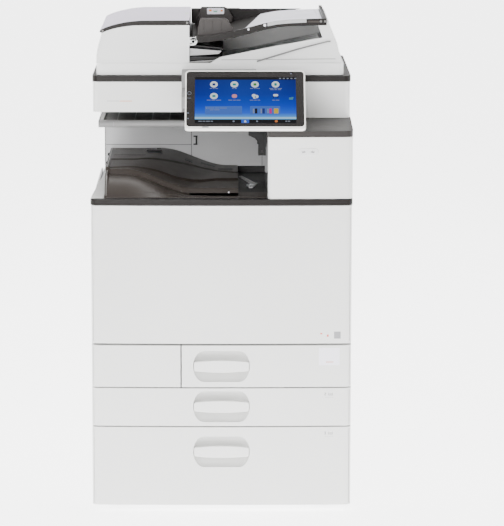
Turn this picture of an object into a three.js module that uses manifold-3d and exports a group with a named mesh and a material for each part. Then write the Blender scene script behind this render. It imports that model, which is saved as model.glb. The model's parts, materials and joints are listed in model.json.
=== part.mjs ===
// Multifunction photocopier on its lower paper drawer: body, three drawers, in-body output tray,
// flatbed scanner, document feeder and a tilting touch panel.
// Millimetres, +Z up, front towards -Y, origin on the floor under the middle of the machine.
import * as THREE from "three";
import { mergeVertices } from "three/addons/utils/BufferGeometryUtils.js";
import Module from "manifold-3d";

const wasm = await Module();
wasm.setup();

// ---------- driving dimensions ----------
const HALF_WIDTH = 293.5; // half of the widest trim
const PANEL_HALF = 292.3; // half of the front panels' width
const FRONT_Y = -300; // front panels' face at their outer ends
const BOW = 6; // how far the front panels bulge in the middle
const BACK_Y = 342.5;
const CORNER = 14; // plan radius of the front corners
const SHELL = 3; // moulded wall
const SHEET = 2; // steel wall
const GAP = 0.4; // assembly gap between touching pieces

const FOOT_TOP = 18;
const LARGE_DRAWER_Z = [14, 194];
const DRAWER_2_Z = [197, 283.5];
const DRAWER_1_Z = [286.5, 381.5];
const FRONT_COVER_Z = [386, 698.8];
const DECK_Z = [700, 714];
const BODY_TOP = 714;
const EXIT_BOX_TOP = 853;
const SCANNER_BOTTOM = 892;
const SCANNER_LOW = 879; // underside of the scanner's deeper right part
const SCANNER_TOP = 961;
const GLASS_TOP = 975;
const LID_BOTTOM = 976;
const LID_SLAB_TOP = 1003;

const PANEL_BACK = -276; // back of the drawer fronts
const FRAME_FRONT = -274;
const FRAME_HALF = 285;
const FRAME_BACK = 331;
const SCANNER_FRONT = -150;
const LID_FRONT = -146;
const CAVITY_BACK = 148; // rear wall of the output space
const SEAM_X = -91; // joint between the blank panel and drawer 1
const EXIT_BOX_LEFT = 103.5;
const SCANNER_STEP_X = 101.5; // left end of the scanner's deeper right part

// ---------- materials ----------
const plastic = (color, roughness = 0.55) =>
  new THREE.MeshStandardMaterial({ color, roughness, metalness: 0 });
const material = {
  shell: plastic(0xdcdcda),
  lightGrey: plastic(0xb4b2af),
  trim: plastic(0x4a4642, 0.4),
  trayBrown: plastic(0x574e48, 0.6),
  black: plastic(0x1c1b1b, 0.5),
  drawer: plastic(0x8f9190, 0.6),
  white: plastic(0xf2f2f0, 0.7),
  rubber: plastic(0x222222, 0.9),
  steel: new THREE.MeshStandardMaterial({ color: 0x9a9c9e, roughness: 0.4, metalness: 0.9 }),
  glass: new THREE.MeshStandardMaterial({ color: 0x9fb3ad, roughness: 0.05, metalness: 0 }),
  screen: plastic(0x17181a, 0.15),
  tonerBlack: plastic(0x2a2a2c, 0.5),
  tonerCyan: plastic(0x1f87b5, 0.5),
  tonerMagenta: plastic(0xb53273, 0.5),
  tonerYellow: plastic(0xdcb62c, 0.5),
};

// ---------- solids ----------
function toSolid(geometry) {
  const bare = geometry.index ? geometry.toNonIndexed() : geometry.clone();
  bare.deleteAttribute("normal");
  bare.deleteAttribute("uv");
  const merged = mergeVertices(bare, 1e-4);
  return new wasm.Manifold(
    new wasm.Mesh({
      numProp: 3,
      vertProperties: merged.attributes.position.array,
      triVerts: new Uint32Array(merged.index.array),
    }),
  );
}

function toGeometry(solid) {
  const mesh = solid.getMesh();
  const geometry = new THREE.BufferGeometry();
  geometry.setAttribute("position", new THREE.BufferAttribute(mesh.vertProperties, mesh.numProp));
  geometry.setIndex(new THREE.BufferAttribute(mesh.triVerts, 1));
  return geometry;
}

// Box from its lowest to its highest corner, as three pairs.
function box([x0, x1], [y0, y1], [z0, z1]) {
  const geometry = new THREE.BoxGeometry(x1 - x0, y1 - y0, z1 - z0);
  geometry.translate((x0 + x1) / 2, (y0 + y1) / 2, (z0 + z1) / 2);
  return toSolid(geometry);
}

const polygon = (points) => new THREE.Shape(points.map(([a, b]) => new THREE.Vector2(a, b)));

function extruded(shape, depth, basis, origin, curveSegments = 6) {
  const geometry = new THREE.ExtrudeGeometry(shape, { depth, bevelEnabled: false, curveSegments });
  geometry.applyMatrix4(new THREE.Matrix4().makeBasis(...basis).setPosition(origin));
  return toSolid(geometry);
}

const X = new THREE.Vector3(1, 0, 0);
const Y = new THREE.Vector3(0, 1, 0);
const Z = new THREE.Vector3(0, 0, 1);
const BACKWARDS = new THREE.Vector3(0, -1, 0);

// Prisms: a plan (x, y) raised along Z, a side profile (y, z) along X, a front profile (x, z) along Y.
const prismZ = (shape, [z0, z1]) => extruded(shape, z1 - z0, [X, Y, Z], new THREE.Vector3(0, 0, z0));
const prismX = (shape, [x0, x1]) => extruded(shape, x1 - x0, [Y, Z, X], new THREE.Vector3(x0, 0, 0));
const prismY = (shape, [y0, y1]) =>
  extruded(shape, y1 - y0, [X, Z, BACKWARDS], new THREE.Vector3(0, y1, 0));

function cylinder(axis, radius, [from, to], [a, b], segments = 20) {
  const geometry = new THREE.CylinderGeometry(radius, radius, to - from, segments);
  const middle = (from + to) / 2;
  if (axis === "x") geometry.rotateZ(-Math.PI / 2).translate(middle, a, b);
  if (axis === "y") geometry.translate(a, middle, b);
  if (axis === "z") geometry.rotateX(Math.PI / 2).translate(a, b, middle);
  return toSolid(geometry);
}

const join = (...solids) => solids.reduce((a, b) => a.add(b));
const cut = (solid, ...tools) => tools.reduce((a, b) => a.subtract(b), solid);

function rounded(x0, x1, y0, y1, radius) {
  const shape = new THREE.Shape();
  shape.absarc(x1 - radius, y0 + radius, radius, -Math.PI / 2, 0);
  shape.absarc(x1 - radius, y1 - radius, radius, 0, Math.PI / 2);
  shape.absarc(x0 + radius, y1 - radius, radius, Math.PI / 2, Math.PI);
  shape.absarc(x0 + radius, y0 + radius, radius, Math.PI, 1.5 * Math.PI);
  return shape;
}

const model = new THREE.Group();

function add(name, solid, finish, group = model) {
  const mesh = new THREE.Mesh(toGeometry(solid), finish);
  mesh.name = name;
  group.add(mesh);
  return mesh;
}

// ---------- bowed front panels ----------
const frontAt = (x) => FRONT_Y - BOW * (1 - (x / PANEL_HALF) ** 2);

// Plan of a front panel from x0 to x1: parabolic front, optional round corners, straight back.
function frontPlan([x0, x1], back, { left = 0, right = 0, grow = 0 } = {}) {
  const a = x0 + left;
  const b = x1 - right;
  const slope = (2 * BOW * a) / PANEL_HALF ** 2;
  const middle = (a + b) / 2;
  const shape = new THREE.Shape();
  shape.moveTo(x0, back);
  if (left) shape.absarc(a, frontAt(a) + left - grow, left, Math.PI, 1.5 * Math.PI);
  else shape.lineTo(x0, frontAt(x0) - grow);
  shape.quadraticCurveTo(middle, frontAt(a) - grow + slope * (middle - a), b, frontAt(b) - grow);
  if (right) shape.absarc(b, frontAt(b) + right - grow, right, -Math.PI / 2, 0);
  shape.lineTo(x1, back);
  return shape;
}

// A front panel moulded as a shallow pan, open at the back.
function panelShell([x0, x1], [z0, z1], back, corners) {
  const plate = prismZ(frontPlan([x0, x1], back, corners), [z0, z1]);
  const pocket = box(
    [x0 + SHELL + 1, x1 - SHELL - 1],
    [FRONT_Y + SHELL, back + 1],
    [z0 + SHELL + 1, z1 - SHELL - 1],
  );
  return cut(plate, pocket);
}

const BOTH_ROUND = { left: CORNER, right: CORNER };

// ---------- base, feet and frame ----------
function buildBase() {
  const pan = cut(
    box([-FRAME_HALF, FRAME_HALF], [FRAME_FRONT, FRAME_BACK], [FOOT_TOP, 29.6]),
    box(
      [-FRAME_HALF + SHEET, FRAME_HALF - SHEET],
      [FRAME_FRONT + SHEET, FRAME_BACK - SHEET],
      [FOOT_TOP + SHEET, 40],
    ),
  );
  add("base_plate", pan, material.steel);
  const corners = {
    foot_front_left: [-235, -225],
    foot_front_right: [235, -225],
    foot_rear_left: [-235, 285],
    foot_rear_right: [235, 285],
  };
  for (const [name, [x, y]] of Object.entries(corners)) {
    const foot = toSolid(
      new THREE.CylinderGeometry(19, 22, FOOT_TOP - GAP, 20)
        .rotateX(Math.PI / 2)
        .translate(0, 0, (FOOT_TOP - GAP) / 2),
    );
    add(name, foot, material.rubber).position.set(x, y, 0);
  }
}

const BAY_TOP = 696;
const BAY_BOTTOM = 387;
const DOOR_WINDOW_Y = [-188, 128];

function buildFrame() {
  const inside = FRAME_HALF - SHEET;
  const depth = [FRAME_FRONT - 1, FRAME_BACK - SHEET];
  const bays = [
    box([-inside, inside], depth, [32, 191]),
    box([-inside, inside], depth, [193.5, 282.5]),
    box([SEAM_X + 9, inside], depth, [285, 382.5]),
    box([-inside, SEAM_X + 5], depth, [285, 382.5]),
    box([-inside, inside], depth, [BAY_BOTTOM - 1.5, BAY_TOP]),
    box([inside - 1, FRAME_HALF + 1], DOOR_WINDOW_Y, [402, 684]),
    box([-FRAME_HALF - 1, -inside + 1], [-248, -212], [622, 658]),
  ];
  const outer = box([-FRAME_HALF, FRAME_HALF], [FRAME_FRONT, FRAME_BACK], [30, 699.4]);
  add("main_frame", cut(outer, ...bays), material.steel);
}

// ---------- outer covers ----------
const SWITCH = { y: -230, z: 640, halfY: 9, halfZ: 13 };

function buildSideCovers() {
  const skin = [FRAME_HALF + GAP + 2, PANEL_HALF];
  const sideY = [FRAME_FRONT + 2, BACK_Y - 3];
  const z = [LARGE_DRAWER_Z[0], BODY_TOP];
  // The sill beside the output tray narrows towards the back.
  const sill = prismZ(
    polygon([[-PANEL_HALF, -283], [-264, -283], [-264, 146], [-277, 146], [-PANEL_HALF, -240]]),
    [DECK_Z[0], BODY_TOP],
  );
  const left = cut(
    join(box([-skin[1], -skin[0]], sideY, [z[0], DECK_Z[0]]), sill),
    box([-300, -280], [-320, -272], [0, DECK_Z[0] - 0.2]),
    box(
      [-PANEL_HALF - 1, -skin[0] + 1],
      [SWITCH.y - SWITCH.halfY, SWITCH.y + SWITCH.halfY],
      [SWITCH.z - SWITCH.halfZ, SWITCH.z + SWITCH.halfZ],
    ),
  );
  add("left_side_cover", left, material.shell);
  const doorway = box([280, 300], [DOOR.y[0] - 2, DOOR.y[1] + 2], [DOOR.z[0] - 2, DOOR.z[1] + 2]);
  const right = cut(box(skin, sideY, [z[0], BODY_TOP - 14.4]), doorway);
  add("right_side_cover", right, material.shell);

  const rear = [FRAME_BACK + 1, BACK_Y];
  const back = cut(
    prismZ(rounded(-284, 284, rear[0] - 6, rear[1], 6), [40, 698]),
    box([-290, 290], [rear[0] - 10, rear[0]], [0, 720]),
    box([-280, 280], [rear[0] - 1, rear[1] - SHELL], [44, 694]),
    box([-262, -228], [rear[0], rear[1] + 1], [70, 96]),
  );
  add("rear_cover", back, material.shell);
}

function buildSwitch() {
  const rocker = prismY(
    polygon([[-293.4, 11], [-292.2, 0], [-293.4, -11], [-286, -11], [-286, 11]]),
    [-SWITCH.halfY + 1, SWITCH.halfY - 1],
  );
  add("main_switch", rocker, material.black).position.set(0, SWITCH.y, SWITCH.z);
}

function buildFrontCover() {
  add(
    "front_cover",
    panelShell([-PANEL_HALF, PANEL_HALF], FRONT_COVER_Z, -280, BOTH_ROUND),
    material.shell,
  );
  add(
    "tray_blank_panel",
    panelShell([-PANEL_HALF, SEAM_X - 1.5], DRAWER_1_Z, PANEL_BACK, { left: CORNER }),
    material.shell,
  );
}

// ---------- drawers ----------
const SCOOP = { flat: 40, round: 24, depth: 26, halfHeight: 35.5 };

// Finger scoop: a cylinder along X with elliptical ends.
function scoop(z) {
  const steps = 5;
  const profile = [];
  for (let i = 0; i <= steps; i += 1) {
    const angle = (i / steps) * (Math.PI / 2);
    const reach = SCOOP.flat + SCOOP.round * Math.cos(angle);
    profile.push(new THREE.Vector2(i ? Math.sin(angle) : 0, -reach));
  }
  const mirrored = profile.map((p) => new THREE.Vector2(p.x, -p.y)).reverse();
  const geometry = new THREE.LatheGeometry([...profile, ...mirrored], 20);
  geometry.rotateZ(-Math.PI / 2).scale(1, SCOOP.depth, SCOOP.halfHeight);
  return toSolid(geometry.translate(0, frontAt(0), z));
}

function grip() {
  const shape = new THREE.Shape();
  shape.moveTo(-56, -11);
  shape.quadraticCurveTo(0, -17, 56, -11);
  shape.quadraticCurveTo(62, -11, 62, -5);
  shape.lineTo(62, 5);
  shape.quadraticCurveTo(62, 11, 56, 11);
  shape.quadraticCurveTo(0, 17, -56, 11);
  shape.quadraticCurveTo(-62, 11, -62, 5);
  shape.lineTo(-62, -5);
  shape.quadraticCurveTo(-62, -11, -56, -11);
  const stem = box([-37, 37], [-300, PANEL_BACK - 1], [-5, 5]);
  return join(prismY(shape, [-308, -298]), stem);
}

function buildDrawer(name, { front, z, gripZ, bin, plate }) {
  const cupBlock = box([-69, 69], [FRONT_Y, PANEL_BACK], [gripZ - 39, gripZ + 39]);
  const slot = box([-39, 39], [PANEL_BACK - 12, PANEL_BACK + 1], [gripZ - 7, gripZ + 7]);
  const panel = cut(join(panelShell(front.x, z, PANEL_BACK, front), cupBlock), scoop(gripZ), slot);
  add(`${name}_front`, panel, material.shell);
  add(`${name}_grip`, grip(), material.shell).position.z = gripZ;

  const outer = box(bin.x, [PANEL_BACK + GAP, 240], bin.z);
  const hollow = box(
    [bin.x[0] + SHELL, bin.x[1] - SHELL],
    [PANEL_BACK + GAP + SHELL, 240 - SHELL],
    [bin.z[0] + SHELL, bin.z[1] + 1],
  );
  add(`${name}_bin`, cut(outer, hollow), material.drawer);
  const floor = bin.z[0] + SHELL + GAP;
  add(`${name}_lift_plate`, box(plate.x, plate.y, [floor, floor + 2]), material.steel);
}

function buildDrawers() {
  buildDrawer("tray_1", {
    front: { x: [SEAM_X + 1.5, PANEL_HALF], right: CORNER },
    z: DRAWER_1_Z,
    gripZ: 334,
    bin: { x: [-72, 268], z: [291, 378] },
    plate: { x: [40, 262], y: [-215, 110] },
  });
  buildDrawer("tray_2", {
    front: { x: [-PANEL_HALF, PANEL_HALF], ...BOTH_ROUND },
    z: DRAWER_2_Z,
    gripZ: 241.5,
    bin: { x: [-268, 268], z: [200, 279] },
    plate: { x: [-60, 262], y: [-235, 140] },
  });
  buildDrawer("tray_3", {
    front: { x: [-PANEL_HALF, PANEL_HALF], ...BOTH_ROUND },
    z: LARGE_DRAWER_Z,
    gripZ: 137.5,
    bin: { x: [-268, 268], z: [36, 187] },
    plate: { x: [-262, 262], y: [-268, 234] },
  });
}

// ---------- inside the body ----------
const BOTTLE_Z = 628;
const BOTTLE_X = { yellow: -159, magenta: -53, cyan: 53, black: 159 };

function buildEngine() {
  const holes = Object.values(BOTTLE_X).map((x) => cylinder("y", 43, [-275, -260], [x, BOTTLE_Z], 28));
  const plate = box([-282.5, 282.5], [-270, -266], [BAY_BOTTOM, BAY_TOP - GAP]);
  add("inner_front_panel", cut(plate, ...holes), material.lightGrey);

  // Cap with its grip flange, neck, barrel and shoulder, as radius and depth.
  const profile = [
    [0, -280], [37, -280], [40, -277], [40, -262], [34, -256],
    [36, -250], [36, 60], [24, 72], [0, 72],
  ];
  const bottle = new THREE.LatheGeometry(profile.map(([r, y]) => new THREE.Vector2(r, y)), 20);
  const finish = {
    yellow: material.tonerYellow,
    magenta: material.tonerMagenta,
    cyan: material.tonerCyan,
    black: material.tonerBlack,
  };
  for (const [colour, x] of Object.entries(BOTTLE_X)) {
    const mesh = add(`toner_bottle_${colour}`, toSolid(bottle), finish[colour]);
    mesh.position.set(x, 0, BOTTLE_Z);
  }

  // Hollow housings, open underneath.
  const housing = (x, y, z, wall) =>
    cut(
      box(x, y, z),
      box([x[0] + wall, x[1] - wall], [y[0] + wall, y[1] - wall], [z[0] - 1, z[1] - wall]),
    );
  add("imaging_unit", housing([-235, 235], [-255, 190], [480, 572], 5), material.black);
  add("laser_unit", housing([-215, 215], [-170, 170], [400, 452], 4), material.black);
  add("fuser_unit", housing([204, 258], [-200, 140], [585, 668], 4), material.black);
}

// ---------- output space ----------
const TRAY_X = [-262, 38];
const TRAY_Y = [-283, 146];
const STEP_Y = -200; // where the main surface drops to the front one

const ease = (t) => {
  const u = Math.min(1, Math.max(0, t));
  return u * u * (3 - 2 * u);
};

// Height of the output tray: a plateau on the left that swoops down towards the paper exit.
function trayHeight(x, y) {
  const back = Math.max(0, (y - STEP_Y) / (TRAY_Y[1] - STEP_Y));
  const centre = -142 + 78 * back;
  const plateau = 1 - ease((x - (centre - 78)) / 156);
  const main = 725 + 48 * plateau;
  if (y > STEP_Y) return main;
  const front = (y - TRAY_Y[0]) / (STEP_Y - TRAY_Y[0]);
  const lower = 716 + (main - 11 - 716) * Math.sin((Math.PI / 2) * Math.min(1, front * 1.6));
  return lower;
}

// A closed solid under a height function, from a grid of x and y stations.
function heightSolid(xs, ys, bottom, height) {
  const nx = xs.length;
  const ny = ys.length;
  const points = [];
  for (const level of [0, 1]) {
    for (const y of ys) for (const x of xs) points.push(x, y, level ? height(x, y) : bottom);
  }
  const id = (level, i, j) => level * nx * ny + j * nx + i;
  const faces = [];
  const quad = (a, b, c, d) => faces.push(a, b, c, a, c, d);
  for (let j = 0; j < ny - 1; j += 1) {
    for (let i = 0; i < nx - 1; i += 1) {
      quad(id(1, i, j), id(1, i + 1, j), id(1, i + 1, j + 1), id(1, i, j + 1));
      quad(id(0, i, j), id(0, i, j + 1), id(0, i + 1, j + 1), id(0, i + 1, j));
    }
  }
  for (let i = 0; i < nx - 1; i += 1) {
    quad(id(0, i, 0), id(0, i + 1, 0), id(1, i + 1, 0), id(1, i, 0));
    quad(id(0, i + 1, ny - 1), id(0, i, ny - 1), id(1, i, ny - 1), id(1, i + 1, ny - 1));
  }
  for (let j = 0; j < ny - 1; j += 1) {
    quad(id(0, 0, j + 1), id(0, 0, j), id(1, 0, j), id(1, 0, j + 1));
    quad(id(0, nx - 1, j), id(0, nx - 1, j + 1), id(1, nx - 1, j + 1), id(1, nx - 1, j));
  }
  const geometry = new THREE.BufferGeometry();
  geometry.setAttribute("position", new THREE.Float32BufferAttribute(points, 3));
  geometry.setIndex(faces);
  return toSolid(geometry);
}

const stations = ([a, b], count) =>
  Array.from({ length: count + 1 }, (_, i) => a + ((b - a) * i) / count);

function buildOutput() {
  const right = FRAME_HALF + 2;
  const plan = frontPlan([-HALF_WIDTH, HALF_WIDTH], -284, { ...BOTH_ROUND, grow: 2.5 });
  const strip = prismZ(plan, DECK_Z);
  const floor = box([-263, right], [-290, CAVITY_BACK - 1], DECK_Z);
  add("deck", join(strip, floor), material.trim);

  const rows = [...stations([TRAY_Y[0], STEP_Y], 5), ...stations([STEP_Y + 4, TRAY_Y[1]], 5)];
  const tray = heightSolid(stations(TRAY_X, 15), rows, BODY_TOP + GAP, trayHeight);
  add("output_tray", tray, material.trayBrown);
  const stopper = add("output_stopper", box([0, 36], [-18, 18], [0, 3]), material.trim);
  stopper.position.set(-176, 95, 773.5);

  const hollowX = [-274, PANEL_HALF - 4];
  const hollowY = [CAVITY_BACK + SHELL, BACK_Y - 6];
  const rearBox = cut(
    box([-277, PANEL_HALF - 1], [CAVITY_BACK, BACK_Y - 3], [DECK_Z[0], SCANNER_BOTTOM - GAP]),
    box(hollowX, hollowY, [DECK_Z[0] - 1, SCANNER_BOTTOM - 4]),
    box([SCANNER_STEP_X - GAP, 300], [0, BACK_Y + 5], [SCANNER_LOW - GAP, SCANNER_BOTTOM + 2]),
    box([SCANNER_STEP_X, hollowX[1]], hollowY, [SCANNER_LOW - 4, SCANNER_LOW]),
  );
  add("rear_housing", rearBox, material.lightGrey);

  const exitGuide = prismY(
    polygon([[62, 878], [102.8, 878], [102.8, 806], [92, 806], [86, 815], [76, 826], [62, 832]]),
    [-100, CAVITY_BACK - 1],
  );
  const cheeks = [[-100, -96], [112, 116]].map((y) => box([84, 102], y, [786, 812]));
  const bores = cylinder("y", 3.4, [-102, 118], [93, 795], 16);
  add("exit_housing", cut(join(exitGuide, ...cheeks), bores), material.black);

  const shaft = cylinder("y", 3, [-101, 117], [0, 0], 12);
  const wheels = [-80, -28, 24, 76].map((y) => cylinder("y", 7.5, [y, y + 14], [0, 0], 16));
  add("exit_roller", join(shaft, ...wheels), material.rubber).position.set(93, 0, 795);

  // Slim extra tray hung under the scanner: round nose in front, shallow dish on top.
  const nose = new THREE.Shape();
  nose.moveTo(144, 856);
  nose.lineTo(-140, 856);
  nose.absarc(-143, 864, 8, 1.5 * Math.PI, Math.PI / 2, true);
  nose.lineTo(144, 872);
  const dish = box([-268, 60], [-132, 136], [861, 880]);
  add("one_bin_tray", cut(prismX(nose, [-280, 58]), dish), material.lightGrey);
}

function buildExitBox() {
  const walls = { left: 10, right: CORNER };
  const z = [BODY_TOP + GAP, EXIT_BOX_TOP];
  const x = [EXIT_BOX_LEFT, HALF_WIDTH - 0.3];
  const shell = cut(
    prismZ(frontPlan(x, CAVITY_BACK - 1, walls), z),
    box([x[0] + SHELL, x[1] - SHELL], [FRONT_Y + SHELL + 6, CAVITY_BACK], [z[0] + SHELL, z[1] + 1]),
    box([x[0] - 1, x[0] + SHELL + 1], [-92, 108], [783, 806]),
  );
  add("right_upper_cover", shell, material.shell);

  // Dark cap: trim around the top, then a surface that rises to the scanner.
  const capX = [EXIT_BOX_LEFT - 1.5, HALF_WIDTH];
  const capPlan = prismZ(frontPlan(capX, CAVITY_BACK - 1, { left: 10, right: CORNER, grow: 2 }), [
    EXIT_BOX_TOP + GAP,
    890,
  ]);
  const side = polygon([
    [-320, 850], [-320, 858], [-306, 866], [-300, 867.5], [-152, 878], [150, 878], [150, 850],
  ]);
  add("right_upper_cap", capPlan.intersect(prismX(side, [90, 300])), material.trim);
}

// ---------- scanner ----------
const GLASS = { x: [-200, 250], y: [-60, 242] };
const HINGE = { y: 290, z: 986, xs: [-170, 170] };

function buildScanner() {
  const wall = 4;
  const plan = rounded(-PANEL_HALF, PANEL_HALF, SCANNER_FRONT, BACK_Y - 10, CORNER);
  const body = cut(
    prismZ(plan, [SCANNER_LOW, SCANNER_TOP]),
    box([-300, SCANNER_STEP_X], [-200, 400], [SCANNER_LOW - 1, SCANNER_BOTTOM]),
    box(
      [-PANEL_HALF + wall, PANEL_HALF - wall],
      [SCANNER_FRONT + wall, BACK_Y - 10 - wall],
      [SCANNER_BOTTOM + wall, SCANNER_TOP + 1],
    ),
  );
  const rail = cylinder("x", 5, [-289, 289], [90, 912], 14);
  add("scanner_body", join(body, rail), material.shell);

  const ledge = 5;
  const cheekXs = HINGE.xs.flatMap((x) => [x - 25, x + 19]);
  const cheekY = [HINGE.y - 9, HINGE.y + 9];
  const cheeks = cheekXs.map((x) => box([x, x + 6], cheekY, [GLASS_TOP - 2, HINGE.z + 9]));
  const bores = HINGE.xs.map((x) => cylinder("x", 3.5, [x - 30, x + 30], [HINGE.y, HINGE.z], 16));
  const plate = prismZ(rounded(-HALF_WIDTH, HALF_WIDTH, SCANNER_FRONT - 3, BACK_Y - 9, CORNER), [
    SCANNER_TOP + GAP,
    GLASS_TOP,
  ]);
  const inset = ([a, b], by) => [a + by, b - by];
  const frame = cut(
    join(plate, ...cheeks),
    box(inset(GLASS.x, ledge), inset(GLASS.y, ledge), [950, 990]),
    box(inset(GLASS.x, -GAP), inset(GLASS.y, -GAP), [GLASS_TOP - 4.4, 990]),
    ...bores,
  );
  add("scanner_top_frame", frame, material.trim);
  add("platen_glass", box(GLASS.x, GLASS.y, [GLASS_TOP - 4, GLASS_TOP]), material.glass);
  add("scan_carriage", box([-262, -226], [-58, 238], [917.6, 956]), material.black);
}

// ---------- document feeder ----------
const FEEDER_X = [-284, -73];
const LID_Y = [LID_FRONT, 262];
const FEEDER_Y = [LID_FRONT, 236];
// Underside of the feed cover, from its hinge on the left to its open right edge.
const COVER_ARC = [
  [-271.5, 1071], [-262, 1075.5], [-248, 1080], [-233, 1083.5],
  [-216, 1086.4], [-199, 1088], [-180, 1088.6], [-75, 1088.8],
];
// Top of the input tray's lip, rising from the feeder to the right.
const INPUT_TOP = [
  [-54.5, 1064], [-26, 1066], [0, 1069.5], [25, 1074.5], [61, 1083.5],
  [95, 1092.5], [126, 1098.5], [160, 1101.5], [200, 1103], [238, 1104],
];

const LIP = 9; // height of the input tray's lip, with the paper surface at its foot
const ROLLER = { x: -108, z: 1062, shaft: 4, radius: 13 };
const TRAY_AXIS = { x: -64, z: 1052, pin: 3, barrel: 7, post: 9 };

const raise = (points, dz) => points.map(([x, z]) => [x, z + dz]);

function buildLid() {
  const slab = prismZ(rounded(-284, 277, LID_Y[0], LID_Y[1], 12), [LID_BOTTOM, LID_SLAB_TOP]);
  const inner = [LID_FRONT + 4, FEEDER_Y[1] - 4];
  const exitFloor = prismY(
    polygon([[20, 1000], [60, 1006], [130, 1022], [200, 1038], [262, 1048], [274, 1000]]),
    inner,
  );
  // White wall in front of the exit floor, climbing to the right end.
  const frontWall = prismY(
    polygon([
      [-30, 1000], [-12, 1011], [-4, 1016], [126, 1042],
      [243, 1063], [255, 1066], [266, 1015], [270, 1000],
    ]),
    [inner[0], inner[0] + 8],
  );
  const rightWall = prismY(polygon([[236, 1040], [263, 1040], [243, 1096], [216, 1096]]), inner);
  const rearWall = prismY(
    polygon([[-20, 1000], [240, 1000], [240, 1100], [-20, 1080]]),
    [186, inner[1]],
  );
  const padPocket = box([-206, 256], [-67, 248], [LID_BOTTOM - 1, LID_BOTTOM + 4]);
  const lugs = HINGE.xs.map((x) =>
    join(
      cylinder("x", 8, [x - 18, x + 18], [HINGE.y, HINGE.z], 20),
      box([x - 18, x + 18], [LID_Y[1] - 2, HINGE.y], [HINGE.z - 6, HINGE.z + 8]),
      cylinder("x", 3, [x - 24.6, x + 24.6], [HINGE.y, HINGE.z], 16),
    ),
  );
  const clearTray = prismY(
    polygon([...raise(INPUT_TOP, -LIP - 6.6), [238.6, 1120], [-60, 1120], [-60, 1050]]),
    [LID_FRONT - 5, FEEDER_Y[1] + 5],
  );
  const raised = cut(join(exitFloor, frontWall, rightWall, rearWall), clearTray);
  const lid = cut(join(slab, raised), padPocket);
  add("adf_base", join(lid, ...lugs), material.shell);
  add(
    "adf_pressure_pad",
    box([-205, 255], [-66, 247], [GLASS_TOP + 0.6, LID_BOTTOM + 4 - GAP]),
    material.white,
  );

  const foot = LID_SLAB_TOP + GAP;
  const outline = [
    [-284, foot], [-283.4, 1018], [-282, 1032], [-278, 1048], [-274, 1061],
    ...COVER_ARC,
    [-73, 1088.8], [-73, foot],
  ];
  const { x: axisX, z: axisZ } = TRAY_AXIS;
  const postY = [[FEEDER_Y[0], FEEDER_Y[0] + 7], [FEEDER_Y[1] - 7, FEEDER_Y[1]]];
  const posts = postY.map((y) =>
    join(
      cylinder("y", TRAY_AXIS.post, y, [axisX, axisZ], 20),
      box([FEEDER_X[1] - 1, axisX], y, [axisZ - TRAY_AXIS.post, axisZ + TRAY_AXIS.post]),
    ),
  );
  const housing = cut(
    join(prismY(polygon(outline), FEEDER_Y), ...posts),
    box([-258, FEEDER_X[1] + 1], [FEEDER_Y[0] + 14, FEEDER_Y[1] - 14], [1016, 1120]),
    cylinder("y", ROLLER.shaft + GAP, [FEEDER_Y[0] + 6, FEEDER_Y[1] - 6], [ROLLER.x, ROLLER.z], 16),
    cylinder("y", TRAY_AXIS.pin + GAP, [FEEDER_Y[0] - 1, FEEDER_Y[1] + 1], [axisX, axisZ], 16),
  );
  add("adf_feeder_housing", housing, material.shell);

  const coverTop = [
    [-73, 1100], [-180, 1099.4], [-199, 1098.2], [-216, 1096], [-233, 1092.6],
    [-248, 1088.8], [-262, 1084], [-274, 1078.6], [-276.5, 1074],
  ];
  const cover = prismY(
    polygon([...raise(COVER_ARC, 0.6), [-73, 1089.4], ...coverTop]),
    [FEEDER_Y[0] - 1.5, FEEDER_Y[1] + 1.5],
  );
  add("adf_feed_cover", cover, material.shell);

  const lipProfile = polygon([...INPUT_TOP, ...raise(INPUT_TOP, -LIP).reverse()]);
  const plateProfile = polygon([
    ...raise(INPUT_TOP, -LIP),
    ...raise(INPUT_TOP, -LIP - 6).reverse(),
  ]);
  const fence = polygon([
    [-54.5, 1052],
    ...raise(INPUT_TOP.slice(1, 8), -LIP - 1),
    [188, 1096], [-54.5, 1096],
  ]);
  const input = join(
    prismY(lipProfile, [FEEDER_Y[0], FEEDER_Y[0] + 7]),
    prismY(plateProfile, [FEEDER_Y[0] + 3, FEEDER_Y[1]]),
    prismY(polygon([[231, 1093], [231, 1103.6], [238, 1104], [238, 1093]]), FEEDER_Y),
    prismY(fence, [FEEDER_Y[1] - 12, FEEDER_Y[1]]),
    cylinder("y", TRAY_AXIS.barrel, [FEEDER_Y[0] + 8, FEEDER_Y[1] - 8], [axisX, axisZ], 20),
    box([axisX, -50], [FEEDER_Y[0] + 8, FEEDER_Y[1] - 8], [1049.5, 1055]),
    cylinder("y", TRAY_AXIS.pin, [FEEDER_Y[0] + 1, FEEDER_Y[1] - 1], [axisX, axisZ], 14),
  );
  add("adf_input_tray", input, material.trim);

  const sole = raise(INPUT_TOP.slice(0, 4), -LIP + 0.6);
  const guide = polygon([...sole, [27, 1078], [14, 1099], [8, 1102.5], [-48, 1102.5], [-54.5, 1080]]);
  const guideAt = { adf_guide_front: [-120, -110], adf_guide_rear: [200, 210] };
  for (const [name, y] of Object.entries(guideAt)) add(name, prismY(guide, y), material.trim);

  const shaft = cylinder("y", ROLLER.shaft, [FEEDER_Y[0] + 7, FEEDER_Y[1] - 7], [0, 0], 16);
  const roller = cylinder("y", ROLLER.radius, [25, 65], [0, 0], 24);
  add("adf_feed_roller", join(shaft, roller), material.rubber).position.set(ROLLER.x, 0, ROLLER.z);
}

// ---------- operation panel ----------
const PANEL = {
  x: 52.8, // middle of its width
  width: 268,
  height: 161, // along its face
  depth: 23,
  lean: 42.6, // degrees back from upright
  footY: -BACK_Y, // lower front edge
  footZ: 876.6,
  rim: { side: 3.5, top: 3, bottom: 7 },
  pivotDepth: 38, // hinge line behind the face
  pivotUp: 14, // and above its middle
};

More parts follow.
